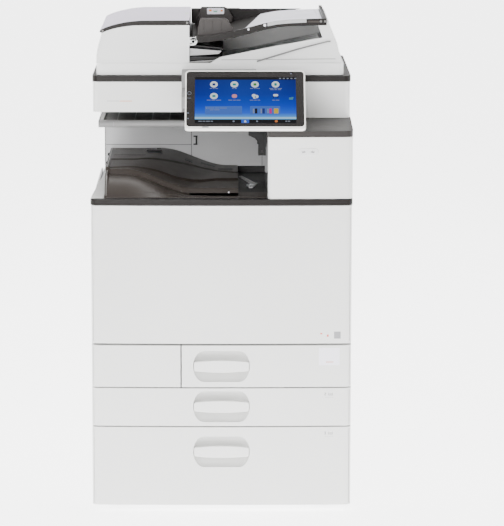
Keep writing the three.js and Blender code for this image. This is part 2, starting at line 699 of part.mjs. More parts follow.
function buildPanel() {
  const lean = THREE.MathUtils.degToRad(90 - PANEL.lean);
  const up = [Math.cos(lean), Math.sin(lean)]; // along the face, as (y, z)
  const out = [-Math.sin(lean), Math.cos(lean)]; // out of the face
  const w = PANEL.width / 2;
  const h = PANEL.height / 2;
  const faceY = PANEL.footY + h * up[0];
  const faceZ = PANEL.footZ + h * up[1];
  const pivotY = faceY + PANEL.pivotUp * up[0] - PANEL.pivotDepth * out[0];
  const pivotZ = faceZ + PANEL.pivotUp * up[1] - PANEL.pivotDepth * out[1];

  // Bracket: a block on the scanner's front that carries two fork arms under the panel.
  const profile = polygon([
    [-150.6, 898], [-150.6, 960], [-154, 960.8], [-154, 987], [-157, 990], [-181, 990],
    [-184, 987], [-184, 950], [-222, 934], [-222, 908], [-206, 898],
  ]);
  const block = prismX(profile, [-90, 78]);
  const arms = [[-10, 8], [98, 116]].map((x) =>
    join(
      box(x, [pivotY, -180], [pivotZ - 10, pivotZ + 10]),
      cylinder("x", 10, x, [pivotY, pivotZ], 20),
    ),
  );
  const bridge = box([70, 116], [-200, -151], [902, 930]);
  const bore = cylinder("x", 4.4, [-20, 130], [pivotY, pivotZ], 16);
  add("panel_bracket", cut(join(block, bridge, ...arms), bore), material.lightGrey);

  // The panel lies in its own frame: x across, y up its face, z out of its face.
  const panel = new THREE.Group();
  panel.rotation.x = lean;
  panel.position.set(PANEL.x, faceY, faceZ);
  model.add(panel);

  const { rim } = PANEL;
  const glass = { x: [-w + rim.side, w - rim.side], y: [-h + rim.bottom, h - rim.top], z: -3 };
  const shell = prismZ(rounded(-w, w, -h, h, 10), [-PANEL.depth, 0]);
  const seatX = [glass.x[0] - GAP, glass.x[1] + GAP];
  const seatY = [glass.y[0] - GAP, glass.y[1] + GAP];
  const seat = prismZ(rounded(...seatX, ...seatY, 7.4), [glass.z - GAP, 1]);
  const behind = -PANEL.depth - 1;
  const upperTaper = prismX(polygon([[h - 34, behind], [h + 1, behind], [h + 1, -8]]), [-w - 1, w + 1]);
  const across = [-w - 1, w + 1];
  const lowerTaper = prismX(polygon([[-h + 20, behind], [-h - 1, -8], [-h - 1, behind]]), across);
  const lug = join(
    box([-43, 43], [PANEL.pivotUp - 9, PANEL.pivotUp + 9], [-PANEL.pivotDepth, -PANEL.depth + 1]),
    cylinder("x", 9, [-43, 43], [PANEL.pivotUp, -PANEL.pivotDepth], 20),
    cylinder("x", 3.8, [-60, 60], [PANEL.pivotUp, -PANEL.pivotDepth], 14),
  );
  const housing = join(cut(shell, seat, upperTaper, lowerTaper), lug);
  add("panel_housing", housing, material.white, panel);

  const key = { x: -w + 9.5, y: 17, radius: 5.4 };
  const keyHole = cylinder("z", key.radius + GAP, [-6, 2], [key.x, key.y], 24);
  const pane = cut(prismZ(rounded(...glass.x, ...glass.y, 7), [glass.z, -0.3]), keyHole);
  add("panel_screen", pane, material.screen, panel);
  const button = cylinder("z", key.radius, [glass.z + 1, 0.4], [0, 0], 24);
  add("panel_power_key", button, material.white, panel).position.set(key.x, key.y, 0);
}

// ---------- right side: duplex door and bypass tray ----------
const DOOR = { y: [-230, 170], z: [292, 690], face: 292 };

function buildRightDoor() {
  const skin = box([FRAME_HALF + GAP + 2, DOOR.face], DOOR.y, DOOR.z);
  const duplex = box([264, FRAME_HALF + 3], [-180, 120], [412, 676]);
  const bayY = [-176, 116];
  const bypassWindow = box([280, 300], bayY, [416, 604]);
  const pan = box([270, FRAME_HALF + GAP + 2], bayY, [416, 673]); // room for the extension
  add("right_door", cut(join(skin, duplex), bypassWindow, pan), material.shell);

  add("bypass_tray", box([285.6, 293.2], [-174, 114], [418, 602]), material.shell);
  add("bypass_extension", box([279, 285], [-120, 60], [424, 590]), material.trayBrown);
}

buildBase();
buildFrame();
buildSideCovers();
buildSwitch();
buildFrontCover();
buildDrawers();
buildEngine();
buildOutput();
buildExitBox();
buildScanner();
buildLid();
buildPanel();
buildRightDoor();

export default model;
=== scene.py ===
"""Looks of the floor-standing photocopier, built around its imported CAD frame."""
import json
import logging
import math
from dataclasses import dataclass, field
from enum import Enum
from typing import Optional, Sequence, Union

import bmesh
import bpy
from mathutils import Matrix, Vector
from mathutils.bvhtree import BVHTree


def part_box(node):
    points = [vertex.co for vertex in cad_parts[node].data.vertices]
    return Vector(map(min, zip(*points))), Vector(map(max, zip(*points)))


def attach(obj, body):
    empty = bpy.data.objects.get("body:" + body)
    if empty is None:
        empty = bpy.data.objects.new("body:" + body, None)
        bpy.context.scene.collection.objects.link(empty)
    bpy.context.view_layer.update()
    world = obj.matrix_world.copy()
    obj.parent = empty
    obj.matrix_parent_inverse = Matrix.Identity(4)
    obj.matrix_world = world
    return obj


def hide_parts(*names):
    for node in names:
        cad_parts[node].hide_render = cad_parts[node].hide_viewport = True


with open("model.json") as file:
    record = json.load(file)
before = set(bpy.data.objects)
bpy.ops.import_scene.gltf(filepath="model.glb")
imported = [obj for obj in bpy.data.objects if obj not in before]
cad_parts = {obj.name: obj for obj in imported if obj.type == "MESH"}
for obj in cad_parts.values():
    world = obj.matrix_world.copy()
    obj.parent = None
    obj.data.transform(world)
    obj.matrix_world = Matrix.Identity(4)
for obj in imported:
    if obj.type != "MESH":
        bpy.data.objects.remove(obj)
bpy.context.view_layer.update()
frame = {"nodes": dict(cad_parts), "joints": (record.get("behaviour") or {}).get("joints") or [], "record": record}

MM = 0.001
LOG = logging.getLogger("copier")
BEVELLED_FROM = 24.0  # degrees: flatter edges take no bevel
CREASED_FROM = 38.0  # degrees: flatter edges are shaded smooth
VENT_DEPTH = 2.0  # millimetres that vent areas are sunk
SLAT_DEPTH = (0.15, 1.9)  # millimetres under the surface where a slat starts and ends
SLAT_PITCH = 5.0  # millimetres from slat to slat

Pair = tuple[float, float]
Area = tuple[Pair, Pair]
Block = tuple[Pair, Pair, Pair]
Colour = tuple[float, float, float]
Point = tuple[float, float, float]


# ---- shader maths
class Value:
    """A shader socket that can be used in Python expressions."""

    def __init__(self, graph: "Graph", socket: bpy.types.NodeSocket) -> None:
        """Wraps an output socket of a graph."""
        self.graph = graph
        self.socket = socket

    def _math(self, operation: str, first: "Number", second: "Number") -> "Value":
        """Adds one Math node on two operands."""
        return self.graph.node("ShaderNodeMath", {"operation": operation}, {0: first, 1: second})

    def __add__(self, other: "Number") -> "Value":
        """Sum."""
        return self._math("ADD", self, other)

    def __radd__(self, other: "Number") -> "Value":
        """Reflected sum."""
        return self._math("ADD", other, self)

    def __sub__(self, other: "Number") -> "Value":
        """Difference."""
        return self._math("SUBTRACT", self, other)

    def __rsub__(self, other: "Number") -> "Value":
        """Reflected difference."""
        return self._math("SUBTRACT", other, self)

    def __mul__(self, other: "Number") -> "Value":
        """Product."""
        return self._math("MULTIPLY", self, other)

    def __rmul__(self, other: "Number") -> "Value":
        """Reflected product."""
        return self._math("MULTIPLY", other, self)

    def above(self, limit: float, softness: float) -> "Value":
        """0 below a limit and 1 from limit plus softness on."""
        sockets = {"Value": self, "From Min": limit, "From Max": limit + softness}
        return self.graph.node("ShaderNodeMapRange", {"interpolation_type": "SMOOTHSTEP"}, sockets)


Number = Union[Value, float]


class Graph:
    """Builds the node tree of one material."""

    def __init__(self, name: str) -> None:
        """Starts an empty material with one Principled shader.

        Args:
            name: the material's name.
        """
        self.material = bpy.data.materials.new(name)
        self.material.use_nodes = True
        self.tree = self.material.node_tree
        self.tree.nodes.clear()
        self.output = self.tree.nodes.new("ShaderNodeOutputMaterial")
        self.shader = self.tree.nodes.new("ShaderNodeBsdfPrincipled")
        self.tree.links.new(self.shader.outputs[0], self.output.inputs[0])

    def node(self, kind: str, settings: Optional[dict] = None, sockets: Optional[dict] = None,
             out: Union[int, str] = 0) -> Value:
        """Adds any node.

        Args:
            kind: the node's type.
            settings: its properties; "stops" are a ramp's places and colours.
            sockets: its inputs by name or index, as values or links.
            out: the output to return.

        Returns:
            The chosen output.
        """
        node = self.tree.nodes.new(kind)
        for key, setting in (settings or {}).items():
            if key == "stops":
                self._stops(node.color_ramp, setting)
            else:
                setattr(node, key, setting)
        for key, value in (sockets or {}).items():
            self._feed(node.inputs[key], value)
        return Value(self, node.outputs[out])

    @staticmethod
    def _stops(ramp: bpy.types.ColorRamp, stops: Sequence[tuple[float, Colour]]) -> None:
        """Sets the stops of a colour ramp.

        Args:
            ramp: the ramp.
            stops: places and colours, in order.
        """
        while len(ramp.elements) < len(stops):
            ramp.elements.new(0.5)
        for element, (place, colour) in zip(ramp.elements, stops):
            element.position = place
            element.color = (*colour, 1.0)

    def _feed(self, socket: bpy.types.NodeSocket, value: object) -> None:
        """Links or sets one input.

        Args:
            socket: the input.
            value: a Value to link, or a constant.
        """
        if isinstance(value, Value):
            self.tree.links.new(value.socket, socket)
        elif isinstance(value, tuple) and socket.type == "RGBA":
            socket.default_value = (*value, 1.0)
        else:
            socket.default_value = value

    def set(self, **inputs: object) -> None:
        """Feeds the Principled shader, underscores standing for spaces."""
        for key, value in inputs.items():
            self._feed(self.shader.inputs[key.replace("_", " ")], value)

    def place(self) -> Value:
        """Object coordinates, in metres."""
        return self.node("ShaderNodeTexCoord", out="Object")

    def noise(self, scale: float, detail: float = 2.0, vector: Optional[Value] = None) -> Value:
        """Fractal noise around 0.5, from features per metre and octaves, in object space if not told."""
        sockets = {"Vector": vector or self.place(), "Scale": scale, "Detail": detail}
        return self.node("ShaderNodeTexNoise", None, sockets)

    def attribute(self, name: str) -> Value:
        """A number stored on the mesh, 0 where it has none."""
        settings = {"attribute_type": "GEOMETRY", "attribute_name": name}
        return self.node("ShaderNodeAttribute", settings, out="Fac")

    def mix(self, first: object, second: object, factor: Number) -> Value:
        """Blends two colours, the first at factor 0 and the second at factor 1."""
        settings = {"data_type": "RGBA", "clamp_factor": True}
        return self.node("ShaderNodeMix", settings, {0: factor, 6: first, 7: second}, out=2)

    def bump(self, height: Value, distance: float) -> None:
        """Feeds a height from 0 to 1, as deep as distance in millimetres, to the surface normal."""
        sockets = {"Height": height, "Distance": distance * MM, "Strength": 1.0}
        self.set(Normal=self.node("ShaderNodeBump", None, sockets))


def shade(colour: Colour, gain: float) -> Colour:
    """A darker or lighter version of a linear colour."""
    return tuple(min(1.0, channel * gain) for channel in colour)


# ---- finishes
@dataclass(frozen=True)
class Finish:
    """What every finish has: a name and the record's slot it belongs to."""

    name: str
    slot: str

    def material(self) -> bpy.types.Material:
        """The finish as a material, made once."""
        made = bpy.data.materials.get(f"{self.name}_finish")
        if made is None:
            graph = Graph(f"{self.name}_finish")
            self.paint(graph)
            made = graph.material
        return made

    def paint(self, graph: Graph) -> None:
        """Sets up the shader."""
        raise NotImplementedError


@dataclass(frozen=True)
class MouldedPlastic(Finish):
    """Injection-moulded plastic with a spark-eroded grain, and edges lightened partly as wear and partly as painted
    highlight.
    """

    colour: Colour
    roughness: float = 0.45
    grain: float = 1500.0
    depth: float = 0.05
    edge_wear_and_sheen: float = 0.35
    coat: float = 0.0
    gloss: float = 0.5

    def paint(self, graph: Graph) -> None:
        """Grain, faint clouding, handling marks, and lighter edges that are part wear and part painted highlight.

        Args:
            graph: the graph to fill.
        """
        cloud = graph.noise(4.0, 3.0)
        smudge = graph.noise(26.0, 4.0)
        grain = graph.noise(self.grain, 2.0)
        wear_and_sheen = graph.attribute("wear_and_sheen") * graph.noise(60.0, 3.0).above(0.42, 0.25)
        body = graph.mix(shade(self.colour, 0.955), shade(self.colour, 1.045), cloud)
        marked = graph.mix(body, shade(self.colour, 0.9), smudge.above(0.62, 0.2) * 0.25)
        # painted highlight: the bevelled edges take a lighter colour, standing partly for wear and partly for the
        # light caught along rounded edges
        wear_and_sheen_colour = tuple(channel * 1.1 + 0.02 for channel in self.colour)
        graph.set(
            Base_Color=graph.mix(marked, wear_and_sheen_colour, wear_and_sheen * self.edge_wear_and_sheen),
            Roughness=grain * 0.1 + smudge * 0.12 + (self.roughness - 0.11) - wear_and_sheen * 0.1,
            Coat_Weight=self.coat,
            Coat_Roughness=0.12,
            Specular_IOR_Level=self.gloss,
        )
        graph.bump(grain + smudge * 0.3, self.depth)


@dataclass(frozen=True)
class SheetSteel(Finish):
    """Zinc-coated sheet with spangle and fine rolling lines."""

    colour: Colour

    def paint(self, graph: Graph) -> None:
        """Spangled metal.

        Args:
            graph: the graph to fill.
        """
        stretch = graph.node(
            "ShaderNodeMapping", None, {"Vector": graph.place(), "Scale": (14.0, 500.0, 500.0)}
        )
        lines = graph.noise(1.0, 3.0, stretch)
        spangle = graph.node("ShaderNodeTexVoronoi", None, {"Vector": graph.place(), "Scale": 90.0})
        tone = spangle * 0.5 + lines * 0.5
        graph.set(
            Base_Color=graph.mix(shade(self.colour, 0.8), shade(self.colour, 1.15), tone),
            Metallic=0.85,
            Roughness=lines * 0.2 + spangle * 0.12 + 0.28,
        )
        graph.bump(lines, 0.02)


@dataclass(frozen=True)
class Rubber(Finish):
    """Dark rubber with dust in its pores."""

    colour: Colour

    def paint(self, graph: Graph) -> None:
        """Matt, dusty rubber.

        Args:
            graph: the graph to fill.
        """
        dust = graph.noise(70.0, 4.0).above(0.5, 0.3)
        pores = graph.noise(1800.0, 2.0)
        graph.set(
            Base_Color=graph.mix(self.colour, (0.16, 0.155, 0.15), dust * 0.3),
            Roughness=pores * 0.15 + 0.72,
        )
        graph.bump(pores, 0.06)


@dataclass(frozen=True)
class PlateGlass(Finish):
    """Clear float glass with a faint film of fingermarks."""

    def paint(self, graph: Graph) -> None:
        """Transparent glass.

        Args:
            graph: the graph to fill.
        """
        film = graph.noise(18.0, 4.0)
        graph.set(
            Base_Color=graph.mix((0.62, 0.74, 0.70), (0.70, 0.80, 0.77), film),
            Roughness=film * 0.08 + 0.01,
            Alpha=film * 0.1 + 0.28,
            IOR=1.5,
        )


@dataclass(frozen=True)
class Lit(Finish):
    """A printed or glowing patch: ink, a lamp or part of the display's picture."""

    colour: Colour
    glow: float = 0.0

    def paint(self, graph: Graph) -> None:
        """Ink with a slight unevenness, which may glow.

        Args:
            graph: the graph to fill.
        """
        spread = graph.noise(420.0, 2.0)
        tone = graph.mix(shade(self.colour, 0.88), shade(self.colour, 1.08), spread)
        if self.glow:
            graph.set(Base_Color=(0.004, 0.004, 0.005), Emission_Color=tone, Emission_Strength=self.glow,
                      Specular_IOR_Level=0.03)
        else:
            graph.set(Base_Color=tone)
        graph.set(Roughness=spread * 0.12 + 0.3)


@dataclass(frozen=True)
class DisplayPicture(Finish):
    """The start screen's backdrop: deep blue that brightens to a pale horizon at the foot."""

    glow: float = 0.9

    def paint(self, graph: Graph) -> None:
        """A vertical gradient on the piece's own UV map, with faint rows.

        Args:
            graph: the graph to fill.
        """
        uv = graph.node("ShaderNodeUVMap", {"uv_map": "picture"})
        up = graph.node("ShaderNodeSeparateXYZ", None, {0: uv}, out=1)
        across = graph.node("ShaderNodeSeparateXYZ", None, {0: uv}, out=0)
        stops = [
            (0.0, (0.10, 0.45, 0.95)), (0.035, (0.55, 0.9, 0.98)), (0.07, (0.09, 0.36, 0.92)),
            (0.16, (0.022, 0.12, 0.84)), (0.34, (0.008, 0.045, 0.60)), (0.62, (0.003, 0.016, 0.30)),
            (1.0, (0.002, 0.010, 0.17)),
        ]
        sky = graph.node("ShaderNodeValToRGB", {"stops": stops}, {0: up})
        drift = graph.noise(9.0, 2.0)
        middle = across * (1.0 - across) * 4.0
        glow = graph.mix(sky, (0.05, 0.2, 0.8), middle * drift * 0.22)
        rows = graph.node("ShaderNodeTexWave", {"bands_direction": "Y"}, {"Vector": uv, "Scale": 90.0})
        graph.set(
            Base_Color=(0.004, 0.006, 0.02),
            Emission_Color=graph.mix(glow, (0.0, 0.01, 0.1), rows * 0.05),
            Emission_Strength=self.glow,
            Roughness=drift * 0.06 + 0.08,
            Specular_IOR_Level=0.03,
        )


DISPLAY = "screen_black"  # the record's slot of everything on the display


class Kit(Enum):
    """The finishes that this machine is made in."""

    COVER = MouldedPlastic("cover_white", "cover_white", (0.72, 0.72, 0.705), 0.5)
    LID = MouldedPlastic("lid_white", "cover_white", (0.72, 0.722, 0.716), 0.44)
    LAVENDER = MouldedPlastic("feed_cover_white", "cover_white", (0.77, 0.715, 0.84), 0.4)
    GRIP = MouldedPlastic("grip_white", "cover_white", (0.74, 0.738, 0.725), 0.38)
    BEZEL = MouldedPlastic("bezel_white", "cover_white", (0.80, 0.785, 0.755), 0.38)
    HOUSING = MouldedPlastic("housing_grey", "housing_grey", (0.40, 0.40, 0.405), 0.48)
    RECESS = MouldedPlastic("recess_grey", "housing_grey", (0.30, 0.295, 0.29), 0.55)
    SHELF = MouldedPlastic("shelf_grey", "housing_grey", (0.185, 0.183, 0.182), 0.42)
    # TRIM, CAP, TRAY, GUIDE, BLACK and SCREEN set their edge lightening here; on these dark finishes it paints
    # highlight lines along the edges, together with wear.
    TRIM = MouldedPlastic("trim_dark", "trim_dark", (0.0095, 0.0078, 0.0070), 0.36, edge_wear_and_sheen=0.8, gloss=0.16)
    CAP = MouldedPlastic("cap_brown", "trim_dark", (0.018, 0.0155, 0.0142), 0.4, edge_wear_and_sheen=0.6, gloss=0.28)
    TRAY = MouldedPlastic("tray_brown", "tray_brown", (0.030, 0.0235, 0.0195), 0.4, edge_wear_and_sheen=0.5, gloss=0.3)
    GUIDE = MouldedPlastic("guide_brown", "trim_dark", (0.030, 0.0245, 0.0225), 0.4, edge_wear_and_sheen=0.5, gloss=0.3)
    # Grey for small dots and strips on dark parts, whose colour paints the glints seen at their edges and ends.
    PAINTED_GLINT = MouldedPlastic("painted_glint_grey", "trim_dark", (0.14, 0.135, 0.13), 0.3, gloss=0.4)
    LENS = MouldedPlastic("lamp_lens", "cover_white", (0.70, 0.70, 0.70), 0.25, depth=0.01, coat=0.3)
    BLACK = MouldedPlastic("inner_black", "inner_black", (0.008, 0.0078, 0.0078), 0.45, edge_wear_and_sheen=0.5, gloss=0.25)
    DRAWER = MouldedPlastic("drawer_grey", "drawer_grey", (0.26, 0.27, 0.27), 0.5)
    PAD = MouldedPlastic("pad_white", "pad_white", (0.83, 0.83, 0.81), 0.6, grain=700.0, depth=0.12)
    # Dark grey for real seams, and for dark strips that paint the shade in grooves.
    SEAM_AND_SHADE = MouldedPlastic("seam_and_shade_grey", "housing_grey", (0.13, 0.13, 0.128), 0.5)
    PAPER = MouldedPlastic("liner_white", "cover_white", (0.85, 0.835, 0.90), 0.4)
    RUBBER = Rubber("rubber_black", "rubber_black", (0.022, 0.022, 0.022))
    STEEL = SheetSteel("sheet_steel", "sheet_steel", (0.52, 0.53, 0.54))
    GLASS = PlateGlass("platen_glass", "platen_glass")
    SCREEN = MouldedPlastic(
        "screen_black", "screen_black", (0.012, 0.010, 0.0095), 0.22, 300.0, 0.004, edge_wear_and_sheen=0.3, coat=0.25, gloss=0.3
    )
    PICTURE = DisplayPicture("display_picture", DISPLAY)
    TONER_YELLOW = MouldedPlastic("toner_yellow", "toner_yellow", (0.72, 0.47, 0.03), 0.4)
    TONER_MAGENTA = MouldedPlastic("toner_magenta", "toner_magenta", (0.50, 0.03, 0.18), 0.4)
    TONER_CYAN = MouldedPlastic("toner_cyan", "toner_cyan", (0.02, 0.26, 0.50), 0.4)
    TONER_BLACK = MouldedPlastic("toner_black", "toner_black", (0.035, 0.035, 0.04), 0.4)
    LEVER = MouldedPlastic("lever_green", "cover_white", (0.05, 0.33, 0.17), 0.4)
    INK_DARK = Lit("ink_dark", "trim_dark", (0.05, 0.05, 0.055))
    INK_GREY = Lit("ink_grey", "trim_dark", (0.26, 0.26, 0.27))
    INK_RED = Lit("ink_red", "cover_white", (0.62, 0.06, 0.03))
    INK_PINK = Lit("ink_pink", "cover_white", (0.68, 0.42, 0.40))
    INK_ORANGE = Lit("ink_orange", "cover_white", (0.75, 0.22, 0.03))
    GLOW_WHITE = Lit("glow_white", DISPLAY, (0.80, 0.88, 0.92), 0.9)
    GLOW_GREY = Lit("glow_grey", DISPLAY, (0.30, 0.34, 0.42), 0.7)
    GLOW_BLUE = Lit("glow_blue", DISPLAY, (0.03, 0.12, 0.72), 0.9)
    GLOW_HAZE = Lit("glow_haze", DISPLAY, (0.06, 0.16, 0.62), 0.9)
    GLOW_NAVY = Lit("glow_navy", DISPLAY, (0.012, 0.03, 0.22), 0.8)
    GLOW_CAPTION = Lit("glow_caption", DISPLAY, (0.28, 0.34, 0.55), 0.75)
    GLOW_TEAL_PALE = Lit("glow_teal_pale", DISPLAY, (0.08, 0.30, 0.40), 0.8)
    GLOW_TEAL = Lit("glow_teal", DISPLAY, (0.01, 0.30, 0.32), 0.8)
    GLOW_GREEN = Lit("glow_green", DISPLAY, (0.05, 0.30, 0.05), 0.8)
    GLOW_PINK = Lit("glow_pink", DISPLAY, (0.85, 0.35, 0.42), 0.8)
    GLOW_MAGENTA = Lit("glow_magenta", DISPLAY, (0.70, 0.02, 0.30), 0.8)
    GLOW_YELLOW = Lit("glow_yellow", DISPLAY, (0.80, 0.55, 0.04), 0.8)
    GLOW_ORANGE = Lit("glow_orange", DISPLAY, (0.85, 0.25, 0.05), 0.8)
    GLOW_BLACK = Lit("glow_black", DISPLAY, (0.004, 0.004, 0.006), 0.2)


# ---- geometry tools
class Axis(Enum):
    """A direction of the machine: X to the right, Y to the back, Z up."""

    X = 0
    Y = 1
    Z = 2

    def point(self, along: float, a: float, b: float) -> Vector:
        """A point in metres, from millimetres along this axis and the other two in X, Y, Z order."""
        order = {Axis.X: (along, a, b), Axis.Y: (a, along, b), Axis.Z: (a, b, along)}
        return Vector(order[self]) * MM

    def turn(self) -> Matrix:
        """The rotation that lays a Z-aligned shape along this axis."""
        angles = {Axis.X: ("Y", math.pi / 2), Axis.Y: ("X", -math.pi / 2), Axis.Z: ("Z", 0.0)}
        name, angle = angles[self]
        return Matrix.Rotation(angle, 4, name)


@dataclass(frozen=True)
class Span:
    """Outer box of a CAD node, in millimetres."""

    x0: float
    x1: float
    y0: float
    y1: float
    z0: float
    z1: float

    @classmethod
    def of(cls, node: str) -> "Span":
        """Reads the box of a node."""
        low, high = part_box(node)
        return cls(*(side / MM for pair in zip(low, high) for side in pair))

    @property
    def cx(self) -> float:
        """Middle across."""
        return (self.x0 + self.x1) / 2

    @property
    def cy(self) -> float:
        """Middle in depth."""
        return (self.y0 + self.y1) / 2

    @property
    def cz(self) -> float:
        """Middle in height."""
        return (self.z0 + self.z1) / 2


def rounded(x: Pair, y: Pair, radius: float, steps: int = 5) -> list[Pair]:
    """Outline of a rectangle with round corners.

    Args:
        x: left and right.
        y: bottom and top.
        radius: corner radius.
        steps: segments per corner.

    Returns:
        Points, counter-clockwise.
    """
    corners = [
        (x[1] - radius, y[0] + radius, -90.0), (x[1] - radius, y[1] - radius, 0.0),
        (x[0] + radius, y[1] - radius, 90.0), (x[0] + radius, y[0] + radius, 180.0),
    ]
    points = []
    for cx, cy, start in corners:
        for step in range(steps + 1):
            angle = math.radians(start + 90.0 * step / steps)
            points.append((cx + radius * math.cos(angle), cy + radius * math.sin(angle)))
    return points


def corners(x: Pair, y: Pair) -> list[Pair]:
    """Outline of a plain rectangle, counter-clockwise."""
    return [(x[0], y[0]), (x[1], y[0]), (x[1], y[1]), (x[0], y[1])]


def body_of(node: str) -> str:
    """The body that a CAD node rides on."""
    bodies = frame["record"]["behaviour"]["bodies"]
    return next(body for body, nodes in bodies.items() if node in nodes)


class Form:
    """A piece in the making. Sizes are millimetres; the mesh is in metres."""

    def __init__(self) -> None:
        """Starts with nothing."""
        self.bm = bmesh.new()
        self.bm.faces.layers.float.new("wear_and_sheen")

    @classmethod
    def copy(cls, node: str) -> "Form":
        """A merged copy of a CAD node's solid, its flat areas back to single faces.

        Args:
            node: the node to copy.

        Returns:
            The new form.
        """
        form = cls()
        form.bm.from_mesh(frame["nodes"][node].data)
        bm = form.bm
        bmesh.ops.remove_doubles(bm, verts=bm.verts, dist=0.02 * MM)
        bmesh.ops.dissolve_limit(
            bm, angle_limit=math.radians(0.25), verts=bm.verts, edges=bm.edges, delimit=set()
        )
        if "wear_and_sheen" not in bm.faces.layers.float:
            bm.faces.layers.float.new("wear_and_sheen")
        return form

    def box(self, x: Pair, y: Pair, z: Pair) -> "Form":
        """Adds a box.

        Args:
            x: left and right.
            y: front and back.
            z: bottom and top.

        Returns:
            The form.
        """
        centre = Vector((sum(x), sum(y), sum(z))) * MM / 2
        size = Vector((x[1] - x[0], y[1] - y[0], z[1] - z[0])) * MM
        matrix = Matrix.Translation(centre) @ Matrix.Diagonal((*size, 1.0))
        bmesh.ops.create_cube(self.bm, size=1.0, matrix=matrix)
        return self

    def cone(self, axis: Axis, along: Pair, centre: Pair, radii: Pair, segments: int = 32) -> "Form":
        """Adds a cylinder or cone.

        Args:
            axis: its direction.
            along: its two ends.
            centre: its place on the other two axes, in X, Y, Z order.
            radii: radius at each end.
            segments: sides.

        Returns:
            The form.
        """
        middle = axis.point(sum(along) / 2, *centre)
        bmesh.ops.create_cone(
            self.bm, cap_ends=True, cap_tris=False, segments=segments, radius1=radii[0] * MM,
            radius2=radii[1] * MM, depth=(along[1] - along[0]) * MM,
            matrix=Matrix.Translation(middle) @ axis.turn(),
        )
        return self

    def prism(self, axis: Axis, outline: Sequence[Pair], along: Pair) -> "Form":
        """Adds an outline raised along an axis.

        Args:
            axis: the direction it is raised in.
            outline: points on the other two axes, in X, Y, Z order.
            along: where it starts and ends.

        Returns:
            The form.
        """
        verts = [self.bm.verts.new(axis.point(along[0], *point)) for point in outline]
        self.extruded([self.bm.faces.new(verts)], axis.point(along[1] - along[0], 0.0, 0.0))
        return self

    def sheet(self, x: Pair, y: Pair, columns: int, rows: int) -> list[bmesh.types.BMVert]:
        """Adds a level grid at height 0.

        Args:
            x: left and right.
            y: front and back.
            columns: faces across.
            rows: faces in depth.

        Returns:
            The grid's points.
        """
        middle = Vector((sum(x) / 2, sum(y) / 2, 0.0)) * MM
        size = Matrix.Diagonal(((x[1] - x[0]) * MM, (y[1] - y[0]) * MM, 1.0, 1.0))
        return bmesh.ops.create_grid(
            self.bm, x_segments=columns, y_segments=rows, size=0.5, matrix=Matrix.Translation(middle) @ size
        )["verts"]

    def extruded(self, faces: Sequence[bmesh.types.BMFace], shift: Vector) -> list[bmesh.types.BMVert]:
        """Extrudes faces.

        Args:
            faces: the faces.
            shift: how far the new faces move, in metres.

        Returns:
            The new faces' points.
        """
        made = bmesh.ops.extrude_face_region(self.bm, geom=faces)["geom"]
        moved = [item for item in made if isinstance(item, bmesh.types.BMVert)]
        bmesh.ops.translate(self.bm, verts=moved, vec=shift)
        return moved

    def turned(self, axis: Axis, profile: Sequence[Pair], centre: Pair, segments: int = 32) -> "Form":
        """Adds a solid of revolution.

        Args:
            axis: its direction.
            profile: radius and place along the axis, starting and ending on the axis or closed.
            centre: its place on the other two axes, in X, Y, Z order.
            segments: steps around.

        Returns:
            The form.
        """
        origin = axis.point(0.0, *centre)
        turn = axis.turn()
        verts = [self.bm.verts.new(origin + turn @ (Vector((r, 0.0, along)) * MM)) for r, along in profile]
        edges = [self.bm.edges.new(pair) for pair in zip(verts, verts[1:])]
        if profile[0][0] > 0.0:
            edges.append(self.bm.edges.new((verts[-1], verts[0])))
        bmesh.ops.spin(
            self.bm, geom=verts + edges, cent=origin, axis=turn @ Vector((0.0, 0.0, 1.0)),
            angle=2.0 * math.pi, steps=segments, use_merge=True, use_duplicate=False,
        )
        bmesh.ops.remove_doubles(self.bm, verts=self.bm.verts, dist=0.001 * MM)
        return self.outward()

    def facing(self, axis: Axis, level: float) -> list[bmesh.types.BMFace]:
        """Flat faces that lie at one level across an axis.

        Args:
            axis: the axis they face along.
            level: where they lie on it.

        Returns:
            The faces.
        """
        index = axis.value
        return [
            face for face in self.bm.faces
            if abs(face.normal[index]) > 0.999
            and all(abs(vert.co[index] / MM - level) < 0.05 for vert in face.verts)
        ]

    def pocket(self, axis: Axis, level: float, a: Pair, b: Pair, depth: float) -> "Form":
        """Sinks or raises a rectangle of a flat face.

        Args:
            axis: the axis that the face looks along.
            level: where the face lies on it.
            a: the rectangle's span on the first of the other two axes, in X, Y, Z order.
            b: its span on the second.
            depth: how far it moves along the axis, with its sign.

        Returns:
            The form.
        """
        first, second = [index for index in range(3) if index != axis.value]
        for index, limits in ((first, a), (second, b)):
            normal = Vector([float(place == index) for place in range(3)])
            for limit in limits:
                faces = self.facing(axis, level)
                edges = {edge for face in faces for edge in face.edges}
                verts = {vert for face in faces for vert in face.verts}
                bmesh.ops.bisect_plane(
                    self.bm, geom=[*faces, *edges, *verts], plane_co=normal * limit * MM,
                    plane_no=normal, dist=1e-7,
                )
        inside = [
            face for face in self.facing(axis, level)
            if a[0] < face.calc_center_median()[first] / MM < a[1]
            and b[0] < face.calc_center_median()[second] / MM < b[1]
        ]
        self.extruded(inside, axis.point(depth, 0.0, 0.0))
        bmesh.ops.delete(self.bm, geom=[face for face in inside if face.is_valid], context="FACES")
        return self

    def outward(self) -> "Form":
        """Turns all faces outwards and returns the form."""
        bmesh.ops.recalc_face_normals(self.bm, faces=self.bm.faces)
        return self

